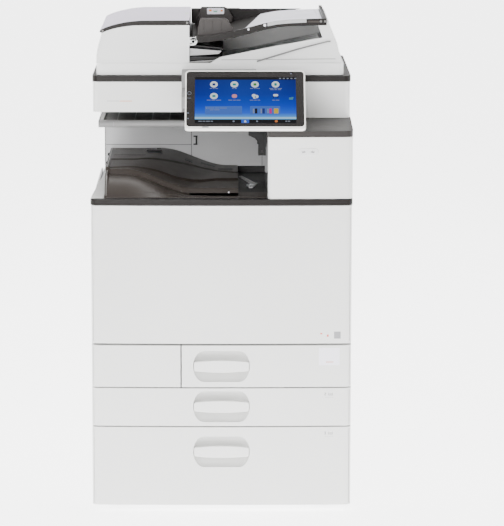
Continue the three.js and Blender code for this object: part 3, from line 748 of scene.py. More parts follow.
    def bevel(self, width: float, segments: int = 2, angle: float = BEVELLED_FROM) -> "Form":
        """Rounds the sharp edges and marks them for the lighter edge colour, which is part wear and part painted
        highlight.

        Args:
            width: bevel width.
            segments: steps across it.
            angle: smallest angle in degrees that counts as sharp.

        Returns:
            The form.
        """
        limit = math.radians(angle)
        edges = [e for e in self.bm.edges if e.is_manifold and e.calc_face_angle(0.0) > limit]
        if edges:
            made = bmesh.ops.bevel(
                self.bm, geom=edges, offset=width * MM, offset_type="OFFSET", segments=segments,
                profile=0.5, affect="EDGES", clamp_overlap=True, loop_slide=True, material=-1,
            )
            wear_and_sheen = self.bm.faces.layers.float["wear_and_sheen"]
            for face in made["faces"]:
                face[wear_and_sheen] = 1.0
        return self

    def move(self, matrix: Matrix) -> "Form":
        """Moves everything by a matrix in metres and returns the form."""
        bmesh.ops.transform(self.bm, matrix=matrix, verts=self.bm.verts)
        return self

    def done(self, name: str, beside: str, finish: Kit, stands_for: Sequence[str] = ()) -> bpy.types.Object:
        """Makes the object and fixes it to the frame.

        Args:
            name: the piece's name.
            beside: a CAD node on its body.
            finish: its finish.
            stands_for: CAD nodes that it replaces.

        Returns:
            The object.
        """
        for face in self.bm.faces:
            face.smooth = True
            face.material_index = 0
        for edge in self.bm.edges:
            edge.smooth = not (edge.is_manifold and edge.calc_face_angle(0.0) > math.radians(CREASED_FROM))
        mesh = bpy.data.meshes.new(name)
        self.bm.to_mesh(mesh)
        self.bm.free()
        mesh.materials.clear()
        mesh.materials.append(finish.value.material())
        piece = bpy.data.objects.new(name, mesh)
        bpy.context.scene.collection.objects.link(piece)
        normals = piece.modifiers.new("even_normals", "WEIGHTED_NORMAL")
        normals.keep_sharp = True
        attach(piece, body_of(beside))
        if stands_for:
            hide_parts(*stands_for)
        LOG.info("%s: %d faces", name, len(mesh.polygons))
        return piece


class Surface:
    """Finds places on a CAD node's top or front, and lays patches on its front."""

    def __init__(self, node: str) -> None:
        """Reads a node's mesh.

        Args:
            node: the CAD node.
        """
        self.node = node
        bm = bmesh.new()
        bm.from_mesh(frame["nodes"][node].data)
        self.tree = BVHTree.FromBMesh(bm)
        bm.free()

    def top(self, x: float, y: float) -> float:
        """Height of the highest point at a place, in millimetres."""
        hit = self.tree.ray_cast(Vector((x, y, 2000.0)) * MM, Vector((0.0, 0.0, -1.0)))[0]
        return hit.z / MM

    def front(self, x: float, z: float) -> float:
        """Depth of the foremost point at a place, in millimetres."""
        hit = self.tree.ray_cast(Vector((x, -1000.0, z)) * MM, Vector((0.0, 1.0, 0.0)))[0]
        return hit.y / MM

    def patch(self, name: str, finish: "Kit", areas: Sequence[Area], proud: float = 0.12) -> None:
        """Adds thin patches that follow a bulging front.

        Args:
            name: the piece's name.
            finish: its finish.
            areas: each patch's span across and up.
            proud: how far it stands out.
        """
        patches = []
        for x, z in areas:
            left, right = (self.front(side, sum(z) / 2) for side in x)
            outline = [(x[0], left - proud), (x[1], right - proud), (x[1], right + 0.6), (x[0], left + 0.6)]
            patches.append((outline, z))
        slabs(name, self.node, finish, Axis.Z, patches, min(0.6, proud * 0.4), 1)


def vents(name: str, beside: str, axis: Axis, level: float, inward: float, areas: Sequence[Area],
          finish: Kit) -> None:
    """Adds slanted slats and a dark mesh behind them to sunk vent areas.

    Args:
        name: start of the pieces' names.
        beside: a CAD node on their body.
        axis: the level axis along which the slats run, X or Y.
        level: the outer surface, on the other level axis.
        inward: which way the inside lies on that axis, -1 or 1.
        areas: each vent's span along the axis and upwards.
        finish: the slats' finish.
    """
    slats, meshes = [], []
    front, back = (level + inward * depth for depth in SLAT_DEPTH)
    deep = tuple(sorted(level + inward * (VENT_DEPTH - gap) for gap in (0.02, 0.12)))
    for (left, right), (low, high) in areas:
        for slat in range(int((high - low - 4) / SLAT_PITCH)):
            z = low + 2 + slat * SLAT_PITCH
            outline = [(front, z), (back, z + 2.25), (back, z + 3.6), (front, z + 2.0)]
            slats.append((outline, (left + 1, right - 1)))
        span = (left + 0.5, right - 0.5)
        meshes.append((*((span, deep) if axis is Axis.X else (deep, span)), (low + 0.5, high - 0.5)))
    slabs(f"{name}_slats", beside, finish, axis, slats)
    blocks(f"{name}_mesh", beside, Kit.BLACK, meshes)


def screws(name: str, beside: str, axis: Axis, level: float, outward: float, places: Sequence[Pair],
           finish: Kit = Kit.STEEL, radius: float = 3.2) -> None:
    """Adds a set of pan-head screws with a socket in each head.

    Args:
        name: the piece's name.
        beside: a CAD node on their body.
        axis: the axis that they lie along.
        level: the surface they sit on.
        outward: which way their heads look, -1 or 1.
        places: their middles on the other two axes, in X, Y, Z order.
        finish: their finish.
        radius: radius of a head.
    """
    head = [(0.0, 0.35), (0.3, 0.35), (0.42, 0.75), (0.75, 0.7), (0.97, 0.42), (1.0, -0.1), (0.0, -0.1)]
    profile = [(r * radius, level + outward * rise * radius * 0.45) for r, rise in head]
    lathed(name, beside, finish, axis, [(profile, place) for place in places], 14)


def blocks(name: str, beside: str, finish: Kit, boxes: Sequence[Block], bevel: float = 0.0,
           segments: int = 2) -> None:
    """Adds a piece made of boxes.

    Args:
        name: the piece's name.
        beside: a CAD node on its body.
        finish: its finish.
        boxes: each box's spans across, in depth and upwards.
        bevel: edge radius in millimetres.
        segments: steps across the edge.
    """
    form = Form()
    for box in boxes:
        form.box(*box)
    if bevel:
        form.bevel(bevel, segments)
    form.done(name, beside, finish)


def slabs(name: str, beside: str, finish: Kit, axis: Axis, raised: Sequence[tuple[Sequence[Pair], Pair]],
          bevel: float = 0.0, segments: int = 2, angle: float = BEVELLED_FROM) -> None:
    """Adds a piece made of outlines raised along an axis.

    Args:
        name: the piece's name.
        beside: a CAD node on its body.
        finish: its finish.
        axis: the direction they are raised in.
        raised: each outline, and where it starts and ends along the axis.
        bevel: edge radius in millimetres.
        segments: steps across the edge.
        angle: smallest angle in degrees that counts as an edge.
    """
    form = Form()
    for outline, along in raised:
        form.prism(axis, outline, along)
    form.outward()
    if bevel:
        form.bevel(bevel, segments, angle)
    form.done(name, beside, finish)


def lathed(name: str, beside: str, finish: Kit, axis: Axis, turned: Sequence[tuple[Sequence[Pair], Pair]],
           steps: int) -> None:
    """Adds a piece made of solids of revolution.

    Args:
        name: the piece's name.
        beside: a CAD node on its body.
        finish: its finish.
        axis: the direction of their axes.
        turned: each one's profile, and its middle on the other two axes.
        steps: steps around.
    """
    form = Form()
    for profile, centre in turned:
        form.turned(axis, profile, centre, steps)
    form.done(name, beside, finish)


def dress(node: str, finish: Kit, bevel: float = 1.0, segments: int = 2,
          sunk: Sequence[tuple[Axis, float, Pair, Pair, float]] = ()) -> Span:
    """Replaces a CAD node by a copy with softened edges, sunk areas and a finish.

    Args:
        node: the CAD node.
        finish: its finish.
        bevel: edge radius in millimetres.
        segments: steps across the edge.
        sunk: what Form.pocket takes for each sunk area.

    Returns:
        The node's box.
    """
    span = Span.of(node)
    form = Form.copy(node).bevel(bevel, segments)
    for area in sunk:
        form.pocket(*area)
    form.done(f"{node}_skin", node, finish, (node,))
    return span


# ---- sub-assemblies
@dataclass
class Chassis:
    """Steel frame, base, feet and the units behind the front cover."""

    feet: Sequence[str] = ("front_left", "front_right", "rear_left", "rear_right")
    colours: dict = field(default_factory=lambda: {
        "yellow": (Kit.TONER_YELLOW, Kit.GLOW_YELLOW), "magenta": (Kit.TONER_MAGENTA, Kit.GLOW_MAGENTA),
        "cyan": (Kit.TONER_CYAN, Kit.GLOW_BLUE), "black": (Kit.TONER_BLACK, Kit.INK_DARK),
    })
    lever_size: Pair = (9.0, 34.0)
    waste_z: Pair = (474.0, 548.0)
    rings: int = 22
    knurls: int = 24

    def build(self) -> None:
        """Builds and dresses the whole chassis."""
        dress("base_plate", Kit.STEEL, 0.8)
        dress("main_frame", Kit.STEEL, 0.6)
        for corner in self.feet:
            self._foot(f"foot_{corner}")
        self._inner_panel()
        for unit in ("laser_unit", "fuser_unit"):
            dress(unit, Kit.BLACK, 1.5)
        self._imaging()
        for colour, (finish, _) in self.colours.items():
            self._bottle(f"toner_bottle_{colour}", finish)

    @staticmethod
    def _foot(node: str) -> None:
        """Rubber foot with a tread ring and a neck.

        Args:
            node: which foot.
        """
        span = Span.of(node)
        top, wide = span.z1, (span.x1 - span.x0) / 2
        profile = [
            (0.0, 0.0), (wide * 0.55, 0.0), (wide * 0.6, 0.8), (wide * 0.68, 0.8), (wide * 0.73, 0.0),
            (wide - 1.5, 0.0), (wide, 1.5), (wide, 5.0), (wide * 0.93, 6.5), (wide * 0.93, 8.5),
            (wide * 0.9, 9.5), (wide * 0.86, top - 1.2), (wide * 0.8, top), (0.0, top),
        ]
        form = Form().turned(Axis.Z, profile, (span.cx, span.cy), 48)
        form.done(f"{node}_moulded", node, Kit.RUBBER, (node,))

    def _inner_panel(self) -> None:
        """Inner front panel with colour marks, locking levers, a waste-toner bottle and screws."""
        node = "inner_front_panel"
        span = Span.of(node)
        face = span.y0
        dress(node, Kit.RECESS, 0.8, sunk=[(Axis.Y, face, (-250.0, 250.0), (393.0, 462.0), 1.6)])
        places = [(x, z) for x in (span.x0 + 14, -106.0, 106.0, span.x1 - 14)
                  for z in (span.z0 + 10, span.z1 - 12)]
        screws("inner_panel_screws", node, Axis.Y, face, -1.0, places)
        wide, high = self.lever_size
        for colour, (_, mark) in self.colours.items():
            bottle = Span.of(f"toner_bottle_{colour}")
            x, low, top = bottle.cx, bottle.z0, bottle.z1
            outline = rounded((x - wide / 2, x + wide / 2), (low - 12 - high, low - 12), 4.0)
            lever = Form().prism(Axis.Y, outline, (face - 5, face))
            lever.box((x - 1.5, x + 1.5), (face - 7, face - 4), (low - 40, low - 22))
            lever.outward().bevel(0.8).done(f"lock_lever_{colour}", node, Kit.LEVER)
            # The yellow, magenta and cyan marks take the display's glowing inks: painted glow, as no lamp lights
            # them.
            badge = rounded((x - 18, x + 18), (top + 8, top + 17), 3.0)
            slabs(f"colour_mark_{colour}", node, mark, Axis.Y, [(badge, (face - 0.4, face))], 0.15)
        low, high = self.waste_z
        waste = Form().prism(Axis.Y, rounded((-238.0, 238.0), (low, high), 12.0), (face - 9, face))
        waste.outward().bevel(3.0, 4)
        for x in range(-200, 201, 40):
            waste.pocket(Axis.Y, face - 9, (x - 14.0, x + 14.0), (low + 14, high - 14), 1.6)
        waste.done("waste_toner_cover", node, Kit.DRAWER)

    def _bottle(self, node: str, finish: Kit) -> None:
        """Blow-moulded toner bottle: ridged cap, neck and a barrel with a conveying spiral.

        Args:
            node: the bottle's CAD node.
            finish: its plastic.
        """
        span = Span.of(node)
        radius, front, rear = (span.x1 - span.x0) / 2, span.y0, span.y1
        centre = (span.cx, span.cz)
        barrel = [(0.0, front + 24), (radius * 0.82, front + 24), (radius * 0.9, front + 30)]
        for ring in range(self.rings):
            y = front + 36 + ring * (rear - front - 70) / self.rings
            barrel += [(radius * 0.9, y), (radius * 0.9, y + 9), (radius * 0.84, y + 11), (radius * 0.84, y + 13)]
        barrel += [(radius * 0.88, rear - 16), (radius * 0.6, rear), (0.0, rear)]
        Form().turned(Axis.Y, barrel, centre, 40).done(f"{node}_barrel", node, finish, (node,))
        cap = [(0.0, front), (radius * 0.86, front), (radius * 0.92, front + 1.2), (radius, front + 3),
               (radius, front + 17), (radius * 0.95, front + 19), (radius * 0.82, front + 24), (0.0, front + 24)]
        form = Form().turned(Axis.Y, cap, centre, 48).bevel(0.4, 2, 40.0)
        for step in range(self.knurls):
            angle = math.radians(360.0 / self.knurls * step)
            x = span.cx + math.cos(angle) * (radius - 0.8)
            z = span.cz + math.sin(angle) * (radius - 0.8)
            form.cone(Axis.Y, (front + 4, front + 16), (x, z), (0.75, 0.75), 8)
        form.done(f"{node}_cap", node, Kit.CAP)
        grip = ((span.cx - 4, span.cx + 4), (front + 0.1, front + 4), (span.cz - 26, span.cz + 26))
        blocks(f"{node}_grip", node, finish, [grip], 1.6, 3)

    @staticmethod
    def _imaging() -> None:
        """Imaging unit with ribs across its front."""
        node = "imaging_unit"
        span = dress(node, Kit.BLACK, 1.5)
        ribs = [((x - 1.0, x + 1.0), (span.y0 - 3, span.y0 + 1), (span.z0 + 6, span.z1 - 6))
                for x in range(-220, 221, 20)]
        blocks("imaging_unit_ribs", node, Kit.BLACK, ribs, 0.3, 1)


@dataclass
class Casing:
    """Outer covers of the body."""

    rear_vents: Sequence[Area] = (
        ((-240.0, -80.0), (560.0, 650.0)), ((90.0, 240.0), (560.0, 650.0)), ((120.0, 240.0), (150.0, 210.0)),
    )
    left_vents: Sequence[Area] = (((150.0, 300.0), (600.0, 668.0)), ((190.0, 300.0), (90.0, 140.0)))
    right_vents: Sequence[Area] = (((200.0, 300.0), (560.0, 660.0)), ((190.0, 300.0), (60.0, 110.0)))
    ports: Sequence[Pair] = ((520.0, 16.0), (494.0, 14.0), (470.0, 14.0))
    ports_x: float = -234.0
    ports_depth: float = 2.2
    inlet: Pair = (-245.0, 83.0)
    hooks_x: Pair = (-262.0, 262.0)

    def build(self) -> None:
        """Builds and dresses the covers."""
        self._rear()
        self._side("left_side_cover", -1.0, self.left_vents, (330.0, 372.0), (383.0, 195.0), 690.0)
        self._side("right_side_cover", 1.0, self.right_vents, (214.0, 250.0), (195.0,), 684.0)
        self._front()
        self._switch()

    def _rear(self) -> None:
        """Rear cover with vents, ribs, a service plate, ports, screws and the mains inlet."""
        node = "rear_cover"
        span = Span.of(node)
        sunk = [(across, up, -VENT_DEPTH) for across, up in self.rear_vents]
        sunk += [((-200.0, 60.0), (120.0, 420.0), -0.9), ((-262.0, -206.0), (440.0, 540.0), -self.ports_depth)]
        sunk += [((span.x0 + 14, span.x1 - 14), (z, z + 1.0), -0.8) for z in (96.0, 488.0, 676.0)]
        dress(node, Kit.COVER, 1.2, 3, [(Axis.Y, span.y1, *place) for place in sunk])
        vents("rear_vent", node, Axis.X, span.y1, -1.0, self.rear_vents, Kit.COVER)
        places = [(x, z) for x in (span.x0 + 12, 0.0, span.x1 - 12) for z in (span.z0 + 14, 340.0, span.z1 - 10)]
        screws("rear_cover_screws", node, Axis.Y, span.y1 - 1.4, 1.0, places, radius=3.0)
        plate = [(x, z) for x in (-192.0, 52.0) for z in (128.0, 412.0)]
        screws("service_plate_screws", node, Axis.Y, span.y1 - 1.9, 1.0, plate, radius=2.8)
        self._inlet()
        self._ports()

    def _inlet(self) -> None:
        """Mains inlet: a socket with three blades behind the rear cover's opening."""
        (x, z), face = self.inlet, Span.of("rear_cover").y1 - 1.2
        socket = Form().prism(Axis.Y, rounded((x - 16, x + 16), (z - 12, z + 12), 2.0), (face - 12, face))
        socket.outward().bevel(0.6)
        socket.pocket(Axis.Y, face, (x - 12.5, x + 12.5), (z - 8.5, z + 8.5), -10.0)
        socket.done("mains_inlet", "rear_cover", Kit.BLACK)
        blades = [((x + dx - 1.0, x + dx + 1.0), (face - 10.5, face - 2), (z + dz - 2.0, z + dz + 2.0))
                  for dx, dz in ((-6.0, -2.0), (0.0, 3.0), (6.0, -2.0))]
        blocks("mains_inlet_blades", "rear_cover", Kit.STEEL, blades, 0.4)

    def _ports(self) -> None:
        """Network and data ports in the rear recess."""
        floor = Span.of("rear_cover").y1 - self.ports_depth
        shells = Form()
        for z, wide in self.ports:
            x = (self.ports_x - wide / 2, self.ports_x + wide / 2)
            shells.prism(Axis.Y, rounded(x, (z - 5, z + 7), 1.0), (floor - 0.2, floor + 1.4))
        shells.outward().bevel(0.3)
        for z, wide in self.ports:
            inner = (self.ports_x - wide / 2 + 1.6, self.ports_x + wide / 2 - 1.6)
            shells.pocket(Axis.Y, floor + 1.4, inner, (z - 3.2, z + 5.0), -1.3)
        shells.done("rear_ports", "rear_cover", Kit.STEEL)

    @staticmethod
    def _side(node: str, outward: float, areas: Sequence[Area], grip: Pair, seams: Sequence[float],
              top: float) -> None:
        """A side cover: vents, a recessed carrying grip, seams and screws.

        Args:
            node: the cover.
            outward: which way it faces, -1 for left.
            areas: its vents, each in depth and upwards.
            grip: the carrying grip's bottom and top.
            seams: heights of the level seams.
            top: height of the highest screws.
        """
        span = Span.of(node)
        level = span.x0 if outward < 0 else span.x1
        sunk = [(along, up, VENT_DEPTH) for along, up in areas] + [((-60.0, 60.0), grip, 4.2)]
        sunk += [((-262.0, 330.0), (z, z + 1.0), 0.9) for z in seams]
        dress(node, Kit.COVER, 0.8, sunk=[(Axis.X, level, y, z, -outward * depth) for y, z, depth in sunk])
        vents(f"{node}_vent", node, Axis.Y, level, -outward, areas, Kit.COVER)
        places = [(y, z) for y in (-250.0, 326.0) for z in (36.0, 214.0, 400.0, top)]
        screws(f"{node}_screws", node, Axis.X, level - outward * 0.9, outward, places, radius=2.6)

    def _front(self) -> None:
        """Front cover with inner ribs and latch hooks, the blank panel and the small stickers."""
        node = "front_cover"
        span = dress(node, Kit.COVER, 1.8, 4)
        dress("tray_blank_panel", Kit.COVER, 1.6, 4)
        front, rear, top = span.y0, span.y1, span.z1
        ribs = [((x - 0.8, x + 0.8), (front + 9.6, front + 16), (span.z0 + 6, top - 6))
                for x in range(-240, 241, 60)]
        ribs += [((span.x0 + 8, span.x1 - 8), (front + 9.6, front + 15), (z - 0.8, z + 0.8))
                 for z in range(430, 680, 60)]
        blocks("front_cover_ribs", node, Kit.COVER, ribs, 0.25, 1)
        hook = [(front + 10, top - 24), (rear - 1, top - 24), (rear - 1, top - 14), (rear - 5, top - 14),
                (rear - 7, top - 19), (front + 10, top - 19)]
        slabs("front_cover_hooks", node, Kit.COVER, Axis.X, [(hook, (x - 5, x + 5)) for x in self.hooks_x], 0.5)
        card = rounded((-120.0, 120.0), (470.0, 600.0), 4.0)
        slabs("front_cover_picture_card", node, Kit.INK_GREY, Axis.Y, [(card, (front + 9.2, front + 9.6))], 0.1)
        stickers = Surface(node)
        stickers.patch("cover_code_patch", Kit.INK_GREY, [((253.0, 268.0), (397.0, 413.0))])
        marks = [((222.0, 226.5), (407.0, 410.0)), ((237.0, 241.0), (401.5, 406.5))]
        stickers.patch("cover_red_marks", Kit.INK_RED, marks)

    @staticmethod
    def _switch() -> None:
        """Rocker switch with a mark on the pressed side."""
        node = "main_switch"
        span = dress(node, Kit.BLACK, 0.6)
        mark = ((span.x0 + 0.15, span.x0 + 1.0), (span.cy - 0.5, span.cy + 0.5), (span.cz + 5, span.cz + 8))
        blocks("main_switch_mark", node, Kit.PAPER, [mark], 0.1, 1)


@dataclass
class PaperDrawer:
    """One paper drawer."""

    number: int
    icon_x: float = 243.0
    badge_z: Sequence[float] = (372.0, 270.0, 180.0)
    window: Area = ((219.0, 266.0), (336.0, 376.0))
    strokes: Sequence[Sequence[Area]] = (
        (((0.6, 1.6), (0.0, 6.0)), ((-0.4, 0.6), (4.4, 5.4))),
        (((-1.6, 1.6), (5.0, 6.0)), ((0.7, 1.6), (3.4, 5.0)), ((-1.6, 1.6), (2.5, 3.4)),
         ((-1.6, -0.7), (0.9, 2.5)), ((-1.6, 1.6), (0.0, 0.9))),
        (((-1.6, 1.6), (5.0, 6.0)), ((0.7, 1.6), (0.9, 5.0)), ((-0.8, 0.7), (2.6, 3.5)),
         ((-1.6, 1.6), (0.0, 0.9))),
    )
    tray_icon: Sequence[Area] = (
        ((-2.0, 8.0), (-3.0, -2.2)), ((-2.0, -1.2), (-2.2, 3.0)), ((7.2, 8.0), (-2.2, 3.0)),
        ((0.0, 6.0), (-1.0, -0.4)), ((0.0, 6.0), (0.6, 1.2)),
    )

    @property
    def name(self) -> str:
        """The drawer's node prefix."""
        return f"tray_{self.number}"

    def build(self) -> None:
        """Builds and dresses the drawer."""
        dress(f"{self.name}_front", Kit.COVER, 1.4, 3)
        dress(f"{self.name}_grip", Kit.GRIP, 2.4, 4)
        self._bin()
        self._plate()
        self._label()

    def _bin(self) -> None:
        """Bin with outside ribs, paper guides and an end stop."""
        node = f"{self.name}_bin"
        span = dress(node, Kit.DRAWER, 0.8)
        floor, top = span.z0 + 6.0, span.z1 - 8.0
        plate = Span.of(f"{self.name}_lift_plate")
        guides = Form()
        for y in ((plate.y0 - 3.6, plate.y0 - 1.6), (plate.y1 + 1.0, plate.y1 + 2.8)):
            for x in (plate.cx - 20, plate.cx + 60):
                guides.prism(Axis.Y, [(x - 24, floor), (x + 24, floor), (x + 16, top), (x - 16, top)], y)
        guides.prism(Axis.X, [(plate.y0 + 20, floor), (plate.y1 - 20, floor), (plate.y1 - 60, top),
                              (plate.y0 + 60, top)], (plate.x0 - 5.0, plate.x0 - 2.5))
        guides.outward().bevel(0.8).done(f"{self.name}_paper_guides", node, Kit.LEVER)
        rims = [((span.x0 + 3, span.x1 - 3), y, (span.z1 - 4, span.z1 - 0.4))
                for y in ((span.y0 + 3, span.y0 + 7), (span.y1 - 7, span.y1 - 3))]
        count = int((span.x1 - span.x0) / 48)
        for index in range(1, count):
            x = span.x0 + index * (span.x1 - span.x0) / count
            rims.append(((x - 1, x + 1), (span.y1 - 6, span.y1 - 3), (floor, span.z1 - 4)))
        blocks(f"{self.name}_bin_rims", node, Kit.DRAWER, rims, 0.4, 1)

    def _plate(self) -> None:
        """Pressed lift plate with dimples and cork pads."""
        node = f"{self.name}_lift_plate"
        span = Span.of(node)
        form = Form.copy(node)
        for x in (span.x0 + 20, span.cx + 10):
            form.pocket(Axis.Z, span.z1, (x, x + 40), (span.cy - 70, span.cy + 70), -0.8)
        form.bevel(0.3, 1).done(f"{node}_skin", node, Kit.STEEL, (node,))
        up = (span.z1 - 0.1, span.z1 + 0.5)
        pads = [(rounded((span.x1 - 34, span.x1 - 8), (y - 14, y + 14), 4.0), up)
                for y in (span.cy - 34, span.cy + 34)]
        slabs(f"{self.name}_pads", node, Kit.RUBBER, Axis.Z, pads, 0.2, 1)

    def _label(self) -> None:
        """Number, paper icon and size window on the drawer's front."""
        front = Surface(f"{self.name}_front")
        x, z = self.icon_x, self.badge_z[self.number - 1]
        areas = [((x - 9 + a[0], x - 9 + a[1]), (z - 3 + b[0], z - 3 + b[1]))
                 for a, b in self.strokes[self.number - 1]]
        areas += [((x + a[0], x + a[1]), (z + b[0], z + b[1])) for a, b in self.tray_icon]
        front.patch(f"{self.name}_number", Kit.INK_DARK, areas, 0.1)
        if self.number == 1:
            (left, right), (low, _) = self.window
            front.patch("tray_1_size_window", Kit.PAPER, [self.window], 0.15)
            front.patch("tray_1_size_mark", Kit.INK_PINK, [((left + 16, right - 14), (low + 6, low + 9))], 0.2)
        else:
            dashes = [((x - 9 + 5 * step, x - 6 + 5 * step), (z - 8, z - 7.2)) for step in range(4)]
            front.patch(f"{self.name}_size_dashes", Kit.INK_GREY, dashes, 0.1)


@dataclass
class OutputBay:
    """Deck, output tray and what surrounds it."""

    span: Span = field(default_factory=lambda: Span.of("output_tray"))
    step_y: float = -200.0
    plateau_rise: float = 48.0
    front_drop: float = 11.0
    swoop: float = 156.0
    lean: float = 78.0
    centre_x: float = -142.0
    mesh_step: float = 3.0
    bead_step: float = 6.0
    terrace: Sequence[Pair] = ((-262.0, -184.0), (-187.0, -160.0), (-143.0, -135.0), (-104.0, -130.0),
                               (-65.0, -109.0), (-12.0, -70.0), (38.0, -66.0))
    shelf: Sequence[Pair] = ((-262.0, -52.0), (-197.0, -52.0), (-145.0, -17.0), (-106.0, 17.0),
                             (-66.0, 50.0), (-26.0, 62.0), (38.0, 20.0))

    def build(self) -> None:
        """Builds and dresses the output space."""
        dress("deck", Kit.TRIM, 2.4, 4)
        self._tray()
        stopper = Span.of("output_stopper")
        notch = (Axis.Z, stopper.z1, (stopper.x1 - 12, stopper.x1 - 3), (stopper.cy - 9, stopper.cy + 9), -1.2)
        dress("output_stopper", Kit.TRIM, 0.7, 2, [notch])
        self._rear_wall()
        self._floor()
        dress("exit_housing", Kit.BLACK, 1.0)
        dress("exit_roller", Kit.RUBBER, 0.5)
        self._one_bin()
        self._exit_box()

    @staticmethod
    def _smooth(value: float) -> float:
        """Smooth step from 0 to 1."""
        value = min(1.0, max(0.0, value))
        return value * value * (3.0 - 2.0 * value)

    @staticmethod
    def _along(line: Sequence[Pair], x: float) -> float:
        """Value of a line of points at x, straight between them.

        Args:
            line: points in order of x.
            x: the place.

        Returns:
            The value.
        """
        for (x0, y0), (x1, y1) in zip(line, line[1:]):
            if x <= x1:
                return y0 + (y1 - y0) * max(0.0, x - x0) / (x1 - x0)
        return line[-1][1]

    def height(self, x: float, y: float) -> float:
        """Height of the output tray's surface.

        Args:
            x: millimetres across.
            y: millimetres in depth.

        Returns:
            The height in millimetres.
        """
        span = self.span
        base = span.z0 + 10.6
        back = max(0.0, (y - self.step_y) / (span.y1 - self.step_y))
        centre = self.centre_x + self.lean * back
        plateau = 1.0 - self._smooth((x - (centre - self.lean)) / self.swoop)
        main = base + self.plateau_rise * plateau
        front_step = self._smooth((y - self._along(self.terrace, x)) / 9.0 + 0.5)
        rear_step = self._smooth((y - self._along(self.shelf, x)) / 8.0 + 0.5)
        main += plateau * (-4.6 + 2.3 * front_step + 2.3 * rear_step)
        main += (1.0 - plateau) * (4.5 * front_step + 2.5 * rear_step)
        rim = self._smooth((span.x0 + 8.0 - x) / 2.5)
        main += rim * plateau * (4.6 - 2.3 * front_step - 2.3 * rear_step)
        if y > self.step_y:
            return main
        front = (y - span.y0) / (self.step_y - span.y0)
        foot = span.z0 + 1.6
        lower = foot + (main - self.front_drop - foot) * math.sin(math.pi / 2 * min(1.0, front * 1.6))
        wall = self._smooth((y - self.step_y + 5.0) / 5.0)
        return lower + (main - lower) * wall

    def _tray(self) -> None:
        """Output tray: terraces that swoop down to the right, ridges, slots, small ribs, and a grey strip along the
        left rim that paints its edge highlight.
        """
        span = self.span
        form = Form()
        form.sheet((span.x0, span.x1), (span.y0, span.y1), round((span.x1 - span.x0) / self.mesh_step),
                   round((span.y1 - span.y0) / self.mesh_step))
        for vert in form.bm.verts:
            vert.co.z = self.height(vert.co.x / MM, vert.co.y / MM) * MM
        for vert in form.extruded(list(form.bm.faces), Vector()):
            vert.co.z = span.z0 * MM
        form.outward().done("output_tray_moulded", "output_tray", Kit.TRAY, ("output_tray",))
        slots = [((-173.0, -138.0), (54.0, 70.0)), ((-48.0, -16.0), (100.0, 112.0)), ((-8.0, 26.0), (60.0, 92.0))]
        ribs = [((-174.0, -150.0), (-272.0, -270.5)), ((-122.0, -86.0), (-268.0, -266.5)),
                ((-96.0, -30.0), (-250.0, -248.5))]
        lines = [((-250.0, -176.0), (15.0, 16.6)), ((-250.0, -150.0), (122.0, 123.6))]
        self._lay("tray_slots", Kit.BLACK, slots, 0.3)
        self._lay("tray_hinge_tab", Kit.TRIM, [((-86.0, -68.0), (70.0, 92.0))], 0.9)
        self._lay("tray_front_ribs", Kit.TRAY, ribs, 0.8)
        self._lay("tray_lines", Kit.TRAY, lines, 0.7)
        # A lighter strip along the left rim: the rim's edge highlight is painted into its grey colour.
        count = int((span.y1 - span.y0 - 4.0) / self.bead_step) + 1
        beads = [span.y0 + 2.0 + self.bead_step * place for place in range(count)]
        upper = [(y, min(span.z1 - 0.1, self.height(span.x0 + 4.0, y) + 0.6)) for y in beads]
        lower = [(y, z - 2.2) for y, z in reversed(upper)]
        bead = (upper + lower, (span.x0 + 2.2, span.x0 + 4.6))
        slabs("tray_edge_glint_bead", "output_tray", Kit.PAINTED_GLINT, Axis.X, [bead], 0.4, 2, 50.0)
        self._lay("tray_limit_mark", Kit.PAPER, [((15.0, 18.0), (-228.0, -203.0))], 0.25)

    def _lay(self, name: str, finish: Kit, areas: Sequence[Area], proud: float) -> None:
        """Lays thin patches on the tray's surface.

        Args:
            name: the piece's name.
            finish: its finish.
            areas: spans across and in depth.
            proud: how far they stand up.
        """
        form = Form()
        for x, y in areas:
            before = set(form.bm.verts)
            for vert in form.sheet(x, y, max(2, round((x[1] - x[0]) / 3)), max(1, round((y[1] - y[0]) / 3))):
                vert.co.z = (self.height(vert.co.x / MM, vert.co.y / MM) + proud) * MM
            faces = [face for face in form.bm.faces if not set(face.verts) & before]
            form.extruded(faces, Vector((0.0, 0.0, -(proud + 0.6) * MM)))
        form.outward().done(name, "output_tray", finish)

    @staticmethod
    def _rear_wall() -> None:
        """Rear wall of the output space with its joints, a clip and screws."""
        node = "rear_housing"
        span = Span.of(node)
        face, rear = span.y0, span.y1
        vent = ((-240.0, -100.0), (790.0, 850.0))
        sunk = [(Axis.Y, rear, (-262.0, 276.0), (760.0, 761.2), -1.2), (Axis.Y, rear, *vent, -VENT_DEPTH)]
        dress(node, Kit.HOUSING, 0.8, sunk=sunk)
        vents("rear_housing_vent", node, Axis.X, rear, -1.0, [vent], Kit.HOUSING)
        places = [(x, z) for x in (-262.0, 0.0, 276.0) for z in (716.0, 870.0)]
        screws("rear_housing_screws", node, Axis.Y, rear - 0.9, 1.0, places, radius=3.0)
        seams = (((-72.0, -70.2), (732.0, 888.0)), ((-273.0, -72.0), (779.6, 781.2)),
                 ((95.4, 97.0), (731.0, 792.0)), ((-275.6, -274.0), (732.0, 888.0)))
        blocks("rear_wall_seams", node, Kit.SEAM_AND_SHADE, [(x, (face - 0.15, face + 0.5), z) for x, z in seams])
        clip = (((-66.5, -57.0), (780.0, 783.0)), ((-66.5, -57.0), (799.0, 802.0)), ((-61.5, -57.5), (783.0, 799.0)))
        blocks("rear_wall_clip", node, Kit.BLACK, [(x, (face - 4, face + 0.5), z) for x, z in clip], 0.6)
        screws("rear_wall_screws", node, Axis.Y, face, -1.0, [(-266.0, 757.0), (-270.0, 737.0)], Kit.BLACK, 4.2)

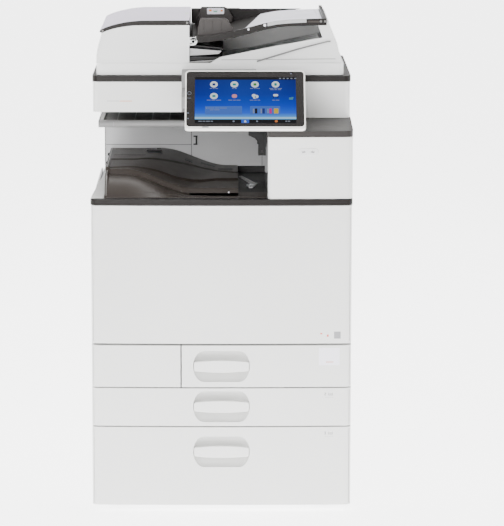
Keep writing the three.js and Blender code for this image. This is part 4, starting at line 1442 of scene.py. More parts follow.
    def _floor(self) -> None:
        """Floor to the right of the tray: a brown apron, a dark well, a spring clip and a bracket."""
        top, rear = Span.of("deck").z1, self.span.y1
        x = (self.span.x1 + 0.6, Span.of("right_upper_cap").x0 + 0.4)
        apron = rounded(x, (-281.0, -197.0), 1.0)
        slabs("deck_apron", "deck", Kit.TRAY, Axis.Z, [(apron, (top - 0.1, top + 1.4))], 0.5)
        well = [(x, (-194.0, rear), (top - 0.1, top + 0.6)), (x, (rear - 2, rear), (top, top + 16.0))]
        blocks("deck_well", "deck", Kit.BLACK, well, 0.3, 1)
        path = [math.radians(20.0 * step) for step in range(14)]
        arch = [(66.0 + 9.0 * math.cos(a), -96.0 + 12.0 * math.sin(a)) for a in path]
        arch += [(66.0 + 6.6 * math.cos(a), -96.0 + 9.4 * math.sin(a)) for a in reversed(path)]
        slabs("deck_spring_clip", "deck", Kit.STEEL, Axis.Z, [(arch, (top + 0.5, top + 4.5))], 0.5)
        bracket = [(40.0, 60.0), (48.0, 66.0), (78.0, -52.0), (84.0, -60.0), (72.0, -128.0), (62.0, -130.0),
                   (68.0, -66.0)]
        slabs("deck_bracket", "deck", Kit.HOUSING, Axis.Z, [(bracket, (top + 0.5, top + 3.2))], 0.5)

    @staticmethod
    def _one_bin() -> None:
        """Slim upper tray with its cross seam, support ribs and a dark sheet on its floor that paints the shade
        under the scanner.
        """
        node = "one_bin_tray"
        span = dress(node, Kit.SHELF, 0.8)
        front, low = span.y0, span.z0
        # A dark sheet on the tray's floor: painted shade, standing for the deep shade under the scanner.
        liner = (corners((front + 12.0, span.y1 - 2.0), (low + 5.2, low + 6.0)), (span.x0 + 6.0, span.x1 - 6.0))
        slabs("one_bin_shade_sheet", node, Kit.CAP, Axis.X, [liner], 0.2, 1)
        seams = [((x, x + 1.0), (front - 0.05, front + 10), (low + 3, span.z1 - 3)) for x in (-245.4, -90.0)]
        blocks("one_bin_seams", node, Kit.INK_GREY, seams, 0.2, 1)
        ribs = [((x - 1.2, x + 1.2), (front + 24, span.y1 - 12), (low + 4.9, low + 6.2))
                for x in range(-240, 41, 40)]
        blocks("one_bin_ribs", node, Kit.SHELF, ribs, 0.4, 1)

    @staticmethod
    def _exit_box() -> None:
        """Upper right cover with its status lamp, and the dark cap."""
        node = "right_upper_cover"
        span = dress(node, Kit.COVER, 2.4, 4)
        dress("right_upper_cap", Kit.CAP, 1.8, 4)
        x, z = 193.0, 820.0
        face = Surface(node).front(x, z)
        lens = rounded((x - 23.0, x + 23.0), (z - 8.0, z + 8.0), 7.9, 10)
        slabs("status_lamp_lens", node, Kit.LENS, Axis.Y, [(lens, (face - 0.9, face + 1.0))], 0.7, 3)
        arrows = []
        for side in (-1, 1):
            middle = x + side * 9.5
            outline = [(-5.0, -0.2), (1.0, 3.4), (0.4, 1.0), (5.0, 1.8), (3.8, -2.6), (-1.2, -1.6)]
            arrows.append(([(middle + side * a, z + b) for a, b in outline][::side], (face - 1.15, face - 0.8)))
        slabs("status_lamp_arrows", node, Kit.INK_GREY, Axis.Y, arrows)
        seam = ((span.x1 - 0.05, span.x1 + 0.2), (-60.0, 60.0), (span.z0 + 20, span.z0 + 21))
        blocks("right_upper_seam", node, Kit.INK_GREY, [seam])


@dataclass
class Scanner:
    """Flatbed scanner under the lid."""

    seam_z: Pair = (905.0, 906.0)
    tick_pitch: float = 10.0

    def build(self) -> None:
        """Builds and dresses the scanner."""
        node = "scanner_body"
        span = Span.of(node)
        side = (-120.0, 310.0)
        dress(node, Kit.COVER, 1.8, 4, [
            (Axis.Y, span.y1, (-270.0, 270.0), (905.0, 906.2), -1.2),
            (Axis.X, span.x0, side, self.seam_z, 1.0), (Axis.X, span.x1, side, self.seam_z, -1.0),
        ])
        places = [(x, 930.0) for x in (-270.0, -90.0, 90.0, 270.0)]
        screws("scanner_screws", node, Axis.Y, span.y1 - 0.9, 1.0, places, radius=3.0)
        badge = ((-260.0, -232.0), (span.y0 - 0.15, span.y0 + 0.5), (916.6, 917.5))
        accent = ((-231.0, -203.0), (span.y0 - 0.2, span.y0 + 0.5), (916.3, 917.6))
        blocks("scanner_badge_line", node, Kit.INK_GREY, [badge])
        blocks("scanner_badge_accent", node, Kit.INK_ORANGE, [accent])
        self._top()
        self._carriage()

    def _top(self) -> None:
        """Dark top frame with platen scales and plugs, and the glass."""
        node = "scanner_top_frame"
        span = dress(node, Kit.TRIM, 1.8, 3)
        glass = dress("platen_glass", Kit.GLASS, 0.3)
        left, rear, top = glass.x0, glass.y1, glass.z1
        scale, mark = (top - 0.3, top + 0.35), (top + 0.3, top + 0.42)
        scales = [((left - 12, left - 2), (glass.y0, rear), scale), ((left, glass.x1), (rear + 2, rear + 12), scale)]
        blocks("platen_scales", node, Kit.BEZEL, scales, 0.2, 1)
        ticks = []
        for index in range(int((rear - glass.y0) / self.tick_pitch)):
            y = glass.y0 + 4 + index * self.tick_pitch
            ticks.append(((left - (7 if index % 5 else 10), left - 2), (y - 0.25, y + 0.25), mark))
        for index in range(int((glass.x1 - left) / self.tick_pitch)):
            x = left + 4 + index * self.tick_pitch
            ticks.append(((x - 0.25, x + 0.25), (rear + 2, rear + (7 if index % 5 else 10)), mark))
        blocks("platen_scale_ticks", node, Kit.INK_DARK, ticks)
        strip = ((-232.0, -216.0), (glass.y0, rear), (top - 0.3, top + 0.3))
        blocks("feeder_scan_window", node, Kit.SCREEN, [strip], 0.2, 1)
        plugs = []
        for x in (span.x0, span.x1):
            inner = x + math.copysign(2.0, -x)
            plugs.append(([(0.0, x), (2.2, x), (2.2, inner), (0.0, inner)], (span.y0 + 26, span.z0 + 6.6)))
        lathed("scanner_trim_plugs", node, Kit.DRAWER, Axis.X, plugs, 16)

    @staticmethod
    def _carriage() -> None:
        """Scan carriage with its lamp, reflector and mirror slot."""
        node = "scan_carriage"
        span = Span.of(node)
        slot = (Axis.Z, span.z1, (span.cx - 9, span.cx + 9), (span.y0 + 10, span.y1 - 10), -6.0)
        dress(node, Kit.BLACK, 1.2, 3, [slot])
        lamp = Form().cone(Axis.Y, (span.y0 + 14, span.y1 - 14), (span.cx - 5, span.z1 - 3.4), (2.2, 2.2), 20)
        lamp.bevel(0.6, 2, 60.0).done("scan_lamp", node, Kit.PAD)


@dataclass
class DocumentFeeder:
    """Lid with the document feeder."""

    liner_start: Pair = (42.0, 92.0)
    track_x: Pair = (2.0, 12.0)
    liner_ribs: int = 9

    def build(self) -> None:
        """Builds and dresses the lid."""
        self._base()
        dress("adf_pressure_pad", Kit.PAD, 1.2, 3)
        self._housing()
        self._cover()
        self._input()
        self._guides()
        self._exit()
        dress("adf_feed_roller", Kit.RUBBER, 0.6)

    @staticmethod
    def _base() -> None:
        """Lid slab and document exit tray, with rubber buffers, a rear pillar, exit ribs, and two strips on the exit
        wall's front that paint the shade of its crease and groove.
        """
        node = "adf_base"
        span = dress(node, Kit.LID, 2.2, 4)
        front, low = span.y0, span.z0
        buffer = [(0.0, low - 0.6), (3.6, low - 0.6), (4.4, low + 0.2), (4.4, low + 1.5), (0.0, low + 1.5)]
        places = [(x, y) for x in (-262.0, 262.0) for y in (front + 16, 236.0)]
        lathed("lid_buffers", node, Kit.RUBBER, Axis.Z, [(buffer, place) for place in places], 20)
        # A grey strip on the exit wall's front: painted shade along the crease.
        crease = [(0.0, 1010.6), (258.0, 1012.8), (259.0, 1011.6), (0.0, 1009.4)]
        slabs("exit_wall_crease_shade", node, Kit.SHELF, Axis.Y, [(crease, (front + 3.2, front + 5.0))])
        # A dark strip on the exit wall's front: painted shade in the diagonal groove.
        groove = [(80.0, 1008.6), (176.0, 1037.4), (240.0, 1053.6), (247.0, 1053.8), (247.0, 1050.8),
                  (240.0, 1050.4), (176.0, 1033.8), (80.0, 1004.8)]
        slabs("exit_wall_groove_shade", node, Kit.SEAM_AND_SHADE, Axis.Y, [(groove, (front - 0.25, front + 1.2))])
        pillar = [(-72.0, 992.0), (-34.0, 992.0), (-40.0, 1096.4), (-72.0, 1096.4)]
        slabs("feeder_rear_pillar", node, Kit.GUIDE, Axis.Y, [(pillar, (237.0, 243.0))], 1.5, 3)
        rib = [(24.0, 1001.0), (60.0, 1007.0), (130.0, 1023.4), (200.0, 1039.4), (226.0, 1045.0),
               (226.0, 1040.0), (24.0, 999.0)]
        ribs = [(rib, (y - 1.0, y + 1.0)) for y in range(-110, 171, 40)]
        slabs("document_exit_ribs", node, Kit.LID, Axis.Y, ribs, 0.5, 1)

    @staticmethod
    def _housing() -> None:
        """Feeder housing whose side walls have a raised inner field."""
        node = "adf_feeder_housing"
        span = Span.of(node)
        form = Form.copy(node).bevel(2.6, 4)
        for level in (span.y0, span.y1):
            for thickness, depth in ((5.0, 0.0), (1.2, -0.9)):
                field_face = max(form.facing(Axis.Y, level), key=lambda face: face.calc_area())
                bmesh.ops.inset_region(form.bm, faces=[field_face], thickness=thickness * MM, depth=depth * MM,
                                       use_even_offset=True)
        form.done("adf_feeder_housing_skin", node, Kit.LID, (node,))
        ribs = [((x - 1.0, x + 1.0), (span.y0 + 18, span.y1 - 18), (1015.8, 1021.0)) for x in range(-244, -96, 16)]
        blocks("feed_path_ribs", node, Kit.BLACK, ribs, 0.5, 1)
        knob = rounded((-236.0, -196.0), (1026.0, 1040.0), 4.0)
        slabs("jam_release_knob", node, Kit.LEVER, Axis.Y, [(knob, (span.y0 + 13, span.y0 + 17))], 0.8)

    @staticmethod
    def _cover() -> None:
        """Feed cover: pale top with a dark edge strip, grey end plugs that paint glints, and a latch tab."""
        node = "adf_feed_cover"
        span = dress(node, Kit.LAVENDER, 1.6, 4)
        front = span.y0
        for name, at in (("front", front - 0.5), ("rear", span.y1 - 1.1)):
            squeeze = 1.6 / (span.y1 - front)
            move = Matrix.Translation((0.0, at * MM, 0.0)) @ Matrix.Diagonal((1.0, squeeze, 1.0, 1.0))
            strip = Form.copy(node).move(move @ Matrix.Translation((0.0, -front * MM, 0.0)))
            strip.bevel(0.35, 2, 50.0).done(f"feed_cover_{name}_strip", node, Kit.TRIM)
        # Two grey plugs at the strip's ends: their lighter colour paints the glints seen there.
        plug = [(0.0, front - 0.9), (2.0, front - 0.9), (2.6, front - 0.4), (2.6, front), (0.0, front)]
        places = ((span.x0 + 7.5, 1076.4), (span.x1 - 5.0, 1094.4))
        lathed("feed_cover_glint_plugs", node, Kit.PAINTED_GLINT, Axis.Y, [(plug, place) for place in places], 18)
        latch = rounded((span.x1 - 12, span.x1 - 1.0), (20.0, 70.0), 3.0)
        slabs("feed_cover_latch", node, Kit.LID, Axis.Z, [(latch, (span.z1 - 1.4, span.z1 - 0.02))], 0.6)

    def _input(self) -> None:
        """Input tray: dark moulding, pale ribbed liner, guide track, rear wall, and pale pegs, dots and a grey plate
        on the lip whose colours are painted highlights.
        """
        node = "adf_input_tray"
        span = dress(node, Kit.TRIM, 1.2)
        front = span.y0
        surface = Surface(node)
        self._liner(surface, span)
        left, right = (surface.top(x, 0.0) for x in self.track_x)
        track = [*zip(self.track_x, (left, right)), *zip(self.track_x[::-1], (right + 0.4, left + 0.4))]
        slabs("guide_tracks", node, Kit.BLACK, Axis.Y, [(track, y) for y in ((-98.0, -40.0), (100.0, 190.0))])
        # Two white pegs on the dark lip: painted highlights, standing for the pale spots of light along the lip.
        studs = []
        for x, wide in ((61.0, 7.0), (98.0, 9.0)):
            stud = [(0.0, front - 0.9), (wide * 0.24, front - 0.8), (wide * 0.34, front - 0.2),
                    (wide * 0.34, front + 0.4), (0.0, front + 0.4)]
            studs.append((stud, (x, surface.top(x, front + 3) - 4.2)))
        lathed("input_tray_glint_studs", node, Kit.PAPER, Axis.Y, studs, 20)
        wall = [(-66.0, 1052.0), (44.0, 1052.0), (44.0, 1097.4), (-52.0, 1097.4)]
        slabs("input_tray_rear_wall", node, Kit.GUIDE, Axis.Y, [(wall, (span.y1 - 9.0, span.y1 - 1.0))], 1.2)
        # A grey plate on the dark lip: painted highlight where the lip catches the light.
        upper = [(x, surface.top(x, front + 3) + 0.35) for x in (104.0 + 11.0 * step for step in range(9))]
        lower = [(x, z - 8.0) for x, z in reversed(upper)]
        plate = (upper + lower, (front - 0.4, front + 1.0))
        slabs("input_tray_lip_glint_plate", node, Kit.HOUSING, Axis.Y, [plate], 0.3, 1, 50.0)
        slot = ((195.0, 222.0), (front - 0.35, front + 0.4), (1094.8, 1099.0))
        blocks("input_tray_slot", node, Kit.TRAY, [slot], 0.3, 1)
        # Two grey dots at the lip's right end: painted glints.
        end = [(0.0, front - 1.1), (2.0, front - 1.0), (2.7, front - 0.3), (2.7, front + 0.4), (0.0, front + 0.4)]
        ends = [(end, (x, 1097.6)) for x in (225.0, 234.5)]
        lathed("input_tray_end_glint_studs", node, Kit.PAINTED_GLINT, Axis.Y, ends, 18)

    def _liner(self, surface: Surface, span: Span) -> None:
        """Pale liner of the input tray, with ribs along the paper's way.

        Args:
            surface: the tray's top.
            span: the tray's box.
        """
        node = "adf_input_tray"
        front, rear, right = span.y0 + 8.0, span.y1 - 13.0, span.x1 - 8.0
        near, far = self.liner_start
        form = Form()
        for vert in form.sheet((-0.5, 0.5), (-0.5, 0.5), 44, 16):
            u, v = vert.co.x / MM + 0.5, vert.co.y / MM + 0.5
            left = near + (far - near) * v
            x = left + (right - left) * u
            y = front + (rear - front) * v
            vert.co = Vector((x, y, surface.top(x, front + 20.0) + 0.9)) * MM
        form.extruded(list(form.bm.faces), Vector((0.0, 0.0, -0.85 * MM)))
        form.outward().bevel(0.25, 1, 50.0).done("input_tray_liner", node, Kit.PAPER)
        start = far + 6.0
        points = [start + (right - 8 - start) * step / 12 for step in range(13)]
        heights = [surface.top(x, front + 20.0) for x in points]
        outline = [(x, z + 1.7) for x, z in zip(points, heights)]
        outline += [(x, z + 0.5) for x, z in zip(reversed(points), reversed(heights))]
        ribs = []
        for index in range(self.liner_ribs):
            y = front + 14 + index * (rear - front - 28) / (self.liner_ribs - 1)
            ribs.append((outline, (y - 0.9, y + 0.9)))
        slabs("input_tray_liner_ribs", node, Kit.PAPER, Axis.Y, ribs, 0.3, 1)

    @staticmethod
    def _guides() -> None:
        """Side guides with stiffening ribs, and the generic loading label."""
        for name in ("front", "rear"):
            node = f"adf_guide_{name}"
            span = dress(node, Kit.GUIDE, 1.6, 3)
            y = (span.y0 - 1.2, span.y0) if name == "front" else (span.y1, span.y1 + 1.2)
            ribs = [((x - 0.8, x + 0.8), y, (span.z0 + 16, span.z1 - 5)) for x in (-40.0, -20.0, 0.0)]
            blocks(f"guide_{name}_ribs", node, Kit.GUIDE, ribs, 0.3, 1)
        node = "adf_guide_rear"
        rear = Span.of(node)
        face, foot = rear.y0, rear.z1 - 17
        label = rounded((-34.0, 6.0), (foot, rear.z1 - 3), 1.0)
        slabs("loading_label", node, Kit.PAPER, Axis.Y, [(label, (face - 0.3, face))], 0.1, 1)
        marks = {
            Kit.INK_ORANGE: [((-30.0, -23.0), (6.5, 11.0)), ((-2.0, 3.0), (6.0, 10.0))],
            Kit.LEVER: [((-19.0, -10.0), (4.5, 7.0))],
            Kit.INK_GREY: [((-21.0, -8.0), (9.0, 10.0))],
        }
        for finish, areas in marks.items():
            boxes = [(x, (face - 0.45, face - 0.2), (foot + z[0], foot + z[1])) for x, z in areas]
            blocks(f"loading_label_{finish.value.name}", node, finish, boxes)

    @staticmethod
    def _exit() -> None:
        """Document exit mouth: guide plates one above the other."""
        housing = Span.of("adf_feeder_housing")
        left = Span.of("adf_feed_cover").x1
        y = (housing.y0 + 7, housing.y1 - 9)
        plates = (
            ("exit_upper_plate", Kit.BLACK, [(left, 1041.0), (2.0, 1034.0), (4.0, 1037.0), (left, 1044.5)]),
            ("exit_middle_plate", Kit.HOUSING, [(left, 1019.0), (-6.0, 1023.0), (0.0, 1030.0), (left, 1036.0)]),
            ("exit_lower_plate", Kit.BLACK, [(left, 1008.0), (2.0, 1012.0), (0.0, 1016.5), (left, 1017.5)]),
            ("exit_sill", Kit.SHELF, [(left, 1003.6), (-34.0, 1003.6), (-8.0, 1010.5), (left, 1006.0)]),
        )
        for name, finish, outline in plates:
            slabs(name, "adf_base", finish, Axis.Y, [(outline, y)], 0.7)


@dataclass(frozen=True)
class Slant:
    """The tilted panel's own frame: x across, y up its face, z out of it, in millimetres."""

    matrix: Matrix

    @classmethod
    def of_panel(cls) -> "Slant":
        """Reads the frame from the panel's joints and housing.

        Returns:
            The frame, with its origin in the middle of the housing's face.
        """
        joints = {joint["name"]: joint for joint in frame["joints"]}
        out = -Vector(joints["power_key_press"]["axis"]).normalized()
        across = Vector((1.0, 0.0, 0.0))
        turn = Matrix((across, out.cross(across), out)).transposed()
        back = turn.inverted()
        points = [back @ vert.co for vert in frame["nodes"]["panel_housing"].data.vertices]
        low = Vector([min(point[axis] for point in points) for axis in range(3)])
        high = Vector([max(point[axis] for point in points) for axis in range(3)])
        centre = Vector(((low.x + high.x) / 2, (low.y + high.y) / 2, high.z))
        return cls(Matrix.Translation(turn @ centre) @ turn.to_4x4())


@dataclass(frozen=True)
class Tile:
    """A flat patch of the display: middle, size and corner radius."""

    x: float
    y: float
    width: float
    height: float
    radius: float = 0.0

    def outline(self) -> list[Pair]:
        """Its outline, counter-clockwise."""
        x = (self.x - self.width / 2, self.x + self.width / 2)
        y = (self.y - self.height / 2, self.y + self.height / 2)
        return rounded(x, y, self.radius) if self.radius else corners(x, y)


@dataclass
class OperationPanel:
    """Tilting touch panel."""

    slant: Slant = field(default_factory=Slant.of_panel)
    glass_level: float = -0.3
    layer_step: float = 0.03
    columns: Sequence[float] = (-69.7, -24.0, 21.8, 67.9)
    rows: Pair = (41.8, 9.6)
    icon: float = 8.75
    picture: Area = ((-112.0, 113.0), (-54.5, 55.0))

    def build(self) -> None:
        """Builds and dresses the panel."""
        self._bracket()
        dress("panel_housing", Kit.BEZEL, 2.2, 4)
        dress("panel_screen", Kit.SCREEN, 0.6)
        self._key()
        self._picture()
        self._bars()
        self._icons()
        self._boxes()
        self._back()

    @staticmethod
    def _bracket() -> None:
        """Bracket under the panel, with a cable duct and screws."""
        node = "panel_bracket"
        low, face = dress(node, Kit.SHELF, 1.4, 3).z0, -222.0
        screws("bracket_screws", node, Axis.Y, face, -1.0, [(-70.0, 920.0), (60.0, 920.0)], radius=3.0)
        duct = [((20.0, 44.0), (face + step - 1.0, face + step + 1.0), (low - 0.2, low + 4.0))
                for step in range(0, 36, 4)]
        blocks("bracket_duct", node, Kit.BLACK, duct, 0.6, 1)

    def _paste(self, name: str, finish: Kit, tiles: Sequence[Tile], layer: int = 2) -> None:
        """Lays flat patches on the glass.

        Args:
            name: the piece's name.
            finish: their finish.
            tiles: the patches.
            layer: how many layers lie beneath, plus one.
        """
        thick = (self.glass_level - 0.02, self.glass_level + self.layer_step * layer)
        form = Form()
        for tile in tiles:
            form.prism(Axis.Z, tile.outline(), thick)
        form.outward().move(self.slant.matrix).done(name, "panel_screen", finish)

    @staticmethod
    def _words(x: float, y: float, widths: Sequence[float], height: float = 2.0, gap: float = 1.5) -> list[Tile]:
        """A centred row of dashes that stands for a line of writing.

        Args:
            x: its middle.
            y: its height on the face.
            widths: each dash's width.
            height: the dashes' height.
            gap: the space between them.

        Returns:
            The dashes.
        """
        left = x - (sum(widths) + gap * (len(widths) - 1)) / 2
        tiles = []
        for width in widths:
            tiles.append(Tile(left + width / 2, y, width, height))
            left += width + gap
        return tiles

    def _key(self) -> None:
        """Power key with its ring, and the marks on the glass and the frame."""
        node = "panel_power_key"
        dress(node, Kit.SCREEN, 0.5)
        key = self.slant.matrix.inverted() @ (sum(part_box(node), Vector()) / 2) / MM
        ring = Form().turned(Axis.Z, corners((3.6, 4.7), (0.3, 0.65)), (key.x, key.y), 36)
        ring.move(self.slant.matrix).done("power_key_ring", node, Kit.GLOW_GREY)
        self._paste("power_key_mark", Kit.GLOW_GREY, self._words(key.x, key.y - 13.0, (1.6, 3.4, 1.6), 1.8, 0.6))
        self._paste("glass_marks", Kit.GLOW_GREY, [
            Tile(-127.0, -37.0, 4.6, 3.6, 0.8), Tile(-127.0, -52.0, 4.2, 3.0, 0.8), Tile(102.7, 71.9, 3.6, 3.2, 0.8),
        ])
        mark = Form().prism(Axis.Z, rounded((-96.0, -81.0), (-77.6, -74.4), 1.0), (-0.3, 0.15)).outward()
        mark.move(self.slant.matrix).done("bezel_mark", "panel_housing", Kit.INK_GREY)

    def _picture(self) -> None:
        """Backdrop of the start screen."""
        x, y = self.picture
        form = Form().prism(Axis.Z, corners(x, y), (self.glass_level - 0.02, self.glass_level + self.layer_step))
        layer = form.outward().bm.loops.layers.uv.new("picture")
        for face in form.bm.faces:
            for loop in face.loops:
                place = loop.vert.co / MM
                loop[layer].uv = ((place.x - x[0]) / (x[1] - x[0]), (place.y - y[0]) / (y[1] - y[0]))
        form.move(self.slant.matrix).done("display_picture", "panel_screen", Kit.PICTURE)

    def _bars(self) -> None:
        """Status bar above the picture and key bar below it."""
        self._paste("display_bars", Kit.GLOW_BLACK, [Tile(0.5, 58.6, 225.0, 7.0), Tile(0.5, -59.8, 225.0, 10.4)], 1)
        status = [Tile(78.0 + 8.5 * step, 58.4, 4.6, 3.0, 0.8) for step in range(5)]
        self._paste("status_icons", Kit.GLOW_GREY, status)
        self._paste("key_bar_home", Kit.GLOW_BLUE, [Tile(-0.3, -59.6, 17.5, 9.6, 1.2)])
        house = [Tile(-0.3, -60.8, 5.0, 3.6, 0.4), Tile(-0.3, -58.0, 3.0, 2.4, 0.9)]
        self._paste("key_bar_house", Kit.GLOW_WHITE, house, 3)
        small = [Tile(-26.0, -59.6, 4.6, 4.0, 1.4), Tile(26.0, -59.6, 4.4, 4.4, 1.6)]
        words = self._words(-88.0, -59.6, (8.0, 6.0, 9.0, 5.0), 2.4) + self._words(94.0, -59.4, (4.0, 5.0), 3.0)
        self._paste("key_bar_marks", Kit.GLOW_GREY, small + words)
        self._paste("key_bar_alert", Kit.GLOW_ORANGE, [Tile(68.6, -59.4, 6.4, 6.0, 2.6)])

    def _icons(self) -> None:
        """Eight round function icons with generic pictures and their captions."""
        first, second, third, fourth = self.columns
        top, low = self.rows
        size, corner = 2 * self.icon, self.icon - 0.05
        discs = [Tile(x, top, size, size, corner) for x in self.columns]
        discs += [Tile(first, low, size, size, corner), Tile(third - 2.6, low + 1.4, 9.0, 9.0, 4.4),
                  Tile(third + 3.4, low - 1.4, 9.0, 9.0, 4.4), Tile(third - 1.0, low - 3.8, 7.0, 7.0, 3.4),
                  Tile(fourth, low + 2.4, 11.0, 6.4, 2.6)]
        self._paste("icon_discs", Kit.GLOW_WHITE, discs)
        self._paste("icon_blob", Kit.GLOW_PINK, [Tile(second, low, 11.6, 10.4, 4.6)])
        cores = {
            "navy": (Kit.GLOW_NAVY, [Tile(first, top, 6.4, 6.0, 1.4), Tile(third + 0.8, low - 2.6, 2.6, 3.6, 0.8)]),
            "teal": (Kit.GLOW_TEAL, [Tile(second, top, 7.4, 5.4, 1.6), Tile(fourth, top, 5.6, 7.0, 1.8),
                                     Tile(first, low, 7.4, 5.6, 1.6)]),
            "green": (Kit.GLOW_GREEN, [Tile(third, top, 6.8, 6.6, 2.0)]),
            "dark": (Kit.GLOW_BLACK, [Tile(fourth + side * 4.4, low - 2.6, 3.2, 3.4, 1.0) for side in (-1, 1)]),
        }
        for name, (finish, tiles) in cores.items():
            self._paste(f"icon_core_{name}", finish, tiles, 3)
        captions = [(5.0, 4.0, 6.0), (4.0, 5.0), (7.0, 4.0, 8.0), (9.0, 6.0, 10.0), (9.0, 8.0, 12.0),
                    (9.0, 6.0, 9.0), (8.0, 6.0, 6.0), (6.0, 8.0)]
        places = [(x, y - 11.2) for y in self.rows for x in self.columns]
        writing = [tile for (x, y), widths in zip(places, captions) for tile in self._words(x, y, widths, 1.8)]
        writing += self._words(fourth, top - 14.6, (8.0, 6.0, 7.0), 1.8)
        self._paste("icon_captions", Kit.GLOW_CAPTION, writing)

    def _boxes(self) -> None:
        """Message box, toner gauges and the side arrow."""
        boxes = [Tile(-48.3, -29.5, 82.5, 23.0, 1.0), Tile(44.1, -29.5, 66.8, 23.0, 1.0)]
        self._paste("message_box", Kit.GLOW_HAZE, boxes)
        lines = self._words(-62.0, -23.4, (14.0, 9.0, 16.0), 1.4) + self._words(-68.0, -28.4, (8.0, 12.0), 1.4)
        lines.append(Tile(-86.0, -23.4, 3.0, 2.6, 0.6))
        self._paste("message_lines", Kit.GLOW_CAPTION, lines, 3)
        gauges = {Kit.GLOW_BLACK: (24.0, 5.4), Kit.GLOW_NAVY: (40.6, 5.4), Kit.GLOW_MAGENTA: (56.2, 5.4),
                  Kit.GLOW_YELLOW: (68.6, 10.0)}
        for finish, (x, wide) in gauges.items():
            self._paste(f"gauge_{finish.value.name}", finish, [Tile(x, -31.5, wide, 14.0, 1.0)], 3)
        lights = [Tile(x, -31.5, 3.4, 13.0, 0.8) for x in (18.6, 35.6, 50.4)]
        self._paste("gauge_lights", Kit.GLOW_CAPTION, lights, 3)
        arrow = [Tile(102.0, 2.7, 9.0, 6.0, 1.2), Tile(105.0, 5.6, 5.0, 3.0, 0.8)]
        self._paste("side_arrow", Kit.GLOW_TEAL_PALE, arrow)

    def _back(self) -> None:
        """Vents on the back of the panel."""
        form = Form()
        for x in range(70, 121, 6):
            form.box((x - 1.5, x + 1.5), (-30.0, 20.0), (-23.2, -22.7))
        form.bevel(0.2, 1).move(self.slant.matrix).done("panel_back_vents", "panel_housing", Kit.BLACK)


@dataclass
class DuplexDoor:
    """Right-hand door with the bypass tray."""

    field_y: Pair = (-214.0, 154.0)
    field_z: Pair = (320.0, 674.0)
    seam: float = 1.0
    seam_depth: float = 0.9

    def build(self) -> None:
        """Builds and dresses the door."""
        self._door()
        self._bypass()
        node = "bypass_extension"
        span = Span.of(node)
        slots = [(Axis.X, span.x0, (y, y + 6.0), (span.z0 + 12, span.z1 - 30), 1.4)
                 for y in range(int(span.y0) + 20, int(span.y1) - 10, 20)]
        dress(node, Kit.TRAY, 1.0, sunk=slots)

    def _door(self) -> None:
        """Door skin with its release grip, seams and inner ribs."""
        node = "right_door"
        span = Span.of(node)
        (left, right), (low, high) = self.field_y, self.field_z
        seams = [(self.field_y, (low, low + self.seam)), ((left, left + self.seam), (low + self.seam, high)),
                 ((right - self.seam, right), (low + self.seam, high))]
        sunk = [(Axis.X, span.x1, (-90.0, 30.0), (632.0, 664.0), -3.4)]
        sunk += [(Axis.X, span.x1, y, z, -self.seam_depth) for y, z in seams]
        dress(node, Kit.COVER, 1.0, sunk=sunk)
        deep, shallow = span.x1 - 3.2, span.x1 - 0.4
        grip = [(deep, 634.0), (shallow, 640.0), (shallow, 643.0), (deep, 643.0)]
        slabs("door_release_grip", node, Kit.CAP, Axis.Y, [(grip, (-80.0, 20.0))], 0.5)
        ribs = [((span.x0 - 1.2, span.x0 + 1), (y - 1.0, y + 1.0), (424.0, 664.0)) for y in range(-160, 110, 30)]
        blocks("duplex_ribs", node, Kit.BLACK, ribs, 0.4, 1)

    @staticmethod
    def _bypass() -> None:
        """Bypass tray with its pull recess, a seam and inner guides."""
        node = "bypass_tray"
        span = Span.of(node)
        dress(node, Kit.COVER, 1.4, 3, [
            (Axis.X, span.x1, (-70.0, 10.0), (span.z1 - 26, span.z1 - 8), -3.6),
            (Axis.X, span.x1, (span.y0 + 14, span.y1 - 14), (span.z0 + 16, span.z0 + 17), -0.8),
        ])
        guides = [((span.x0 - 2.4, span.x0 + 0.4), (y, y + 3.0), (span.z0 + 20, span.z1 - 20))
                  for y in (-134.0, 72.0)]
        blocks("bypass_guides", node, Kit.GUIDE, guides, 0.8)


# ---- studio
@dataclass(frozen=True)
class Softbox:
    """A large area light aimed at the machine."""

    name: str
    place: Point
    size: float
    power: float

    def hang(self, target: Vector) -> None:
        """Creates the light.

        Args:
            target: where it points.
        """
        lamp = bpy.data.lights.new(self.name, "AREA")
        lamp.shape = "SQUARE"
        lamp.size = self.size
        lamp.energy = self.power
        holder = bpy.data.objects.new(self.name, lamp)
        holder.location = self.place
        holder.rotation_euler = (target - Vector(self.place)).to_track_quat("-Z", "Y").to_euler()
        bpy.context.scene.collection.objects.link(holder)


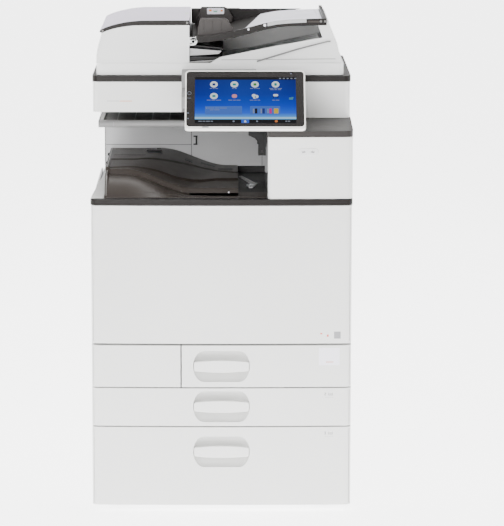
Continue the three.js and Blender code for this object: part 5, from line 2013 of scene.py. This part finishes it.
@dataclass
class Studio:
    """Pale floor, soft light and the camera."""

    camera_back: float = 7.2
    camera_height: float = 1.699
    pitch: float = 9.3
    lens: float = 213.6
    shift: float = 0.058
    sky: float = 0.42
    floor_glow: float = 4.2
    glow_edge: Pair = (-3.4, -0.6)
    front_glow: float = 0.12
    wall_glow: float = 0.4
    floor_half: float = 40.0
    wall: Pair = (39.0, 10.0)
    boxes: Sequence[Softbox] = (
        Softbox("key_softbox", (-2.4, -4.2, 3.4), 2.2, 130.0),
        Softbox("front_softbox", (-1.2, -6.0, 1.6), 2.2, 250.0),
        Softbox("fill_softbox", (3.4, -3.2, 2.2), 2.6, 40.0),
        Softbox("top_softbox", (0.2, 1.2, 4.6), 3.6, 310.0),
    )

    def build(self) -> None:
        """Sets up floor, light and camera."""
        self._floor()
        target = Vector((0.0, 0.0, 0.6))
        for box in self.boxes:
            box.hang(target)
        world = bpy.data.worlds.new("studio")
        bpy.context.scene.world = world
        world.use_nodes = True
        sky = world.node_tree.nodes["Background"]
        sky.inputs["Color"].default_value = (1.0, 1.0, 1.0, 1.0)
        sky.inputs["Strength"].default_value = self.sky
        view = bpy.data.cameras.new("camera")
        view.lens = self.lens
        view.shift_x = self.shift
        view.clip_end = 100.0
        camera = bpy.data.objects.new("camera", view)
        camera.location = (0.0, -self.camera_back, self.camera_height)
        camera.rotation_euler = (math.radians(90.0 - self.pitch), 0.0, 0.0)
        bpy.context.scene.collection.objects.link(camera)
        bpy.context.scene.camera = camera

    def _floor(self) -> None:
        """Lays the floor and a low round wall far away, which glow softly."""
        bm = bmesh.new()
        bmesh.ops.create_grid(bm, x_segments=4, y_segments=4, size=self.floor_half)
        for edge in self.glow_edge:
            parts = list(bm.verts) + list(bm.edges) + list(bm.faces)
            bmesh.ops.bisect_plane(bm, geom=parts, plane_co=(0.0, edge, 0.0), plane_no=(0.0, 1.0, 0.0))
        glow = bm.verts.layers.float.new("glow")
        for vert in bm.verts:
            vert[glow] = 1.0 if vert.co.y > self.glow_edge[1] - 0.01 else self.front_glow
        radius, height = self.wall
        around = bmesh.ops.create_cone(
            bm, cap_ends=False, segments=96, radius1=radius, radius2=radius, depth=height
        )
        for vert in around["verts"]:
            vert[glow] = self.wall_glow
        mesh = bpy.data.meshes.new("floor")
        bm.to_mesh(mesh)
        bm.free()
        graph = Graph("floor_pale")
        mottle = graph.noise(1.2, 3.0)
        graph.set(
            Base_Color=graph.mix((0.80, 0.80, 0.80), (0.86, 0.86, 0.855), mottle),
            Emission_Color=graph.mix((0.0, 0.0, 0.0), (1.0, 1.0, 1.0), graph.attribute("glow")),
            Emission_Strength=self.floor_glow,
            Roughness=mottle * 0.2 + 0.5,
        )
        mesh.materials.append(graph.material)
        floor = bpy.data.objects.new("floor", mesh)
        bpy.context.scene.collection.objects.link(floor)


def main() -> None:
    """Builds the machine sub-assembly by sub-assembly, then the studio."""
    logging.basicConfig(level=logging.INFO, format="%(message)s")
    drawers = [PaperDrawer(number) for number in (1, 2, 3)]
    parts = [Chassis(), Casing(), *drawers, OutputBay(), Scanner(), DocumentFeeder(), OperationPanel(),
             DuplexDoor(), Studio()]
    for part in parts:
        LOG.info("building %s", type(part).__name__)
        part.build()


if __name__ == "__main__":
    main()
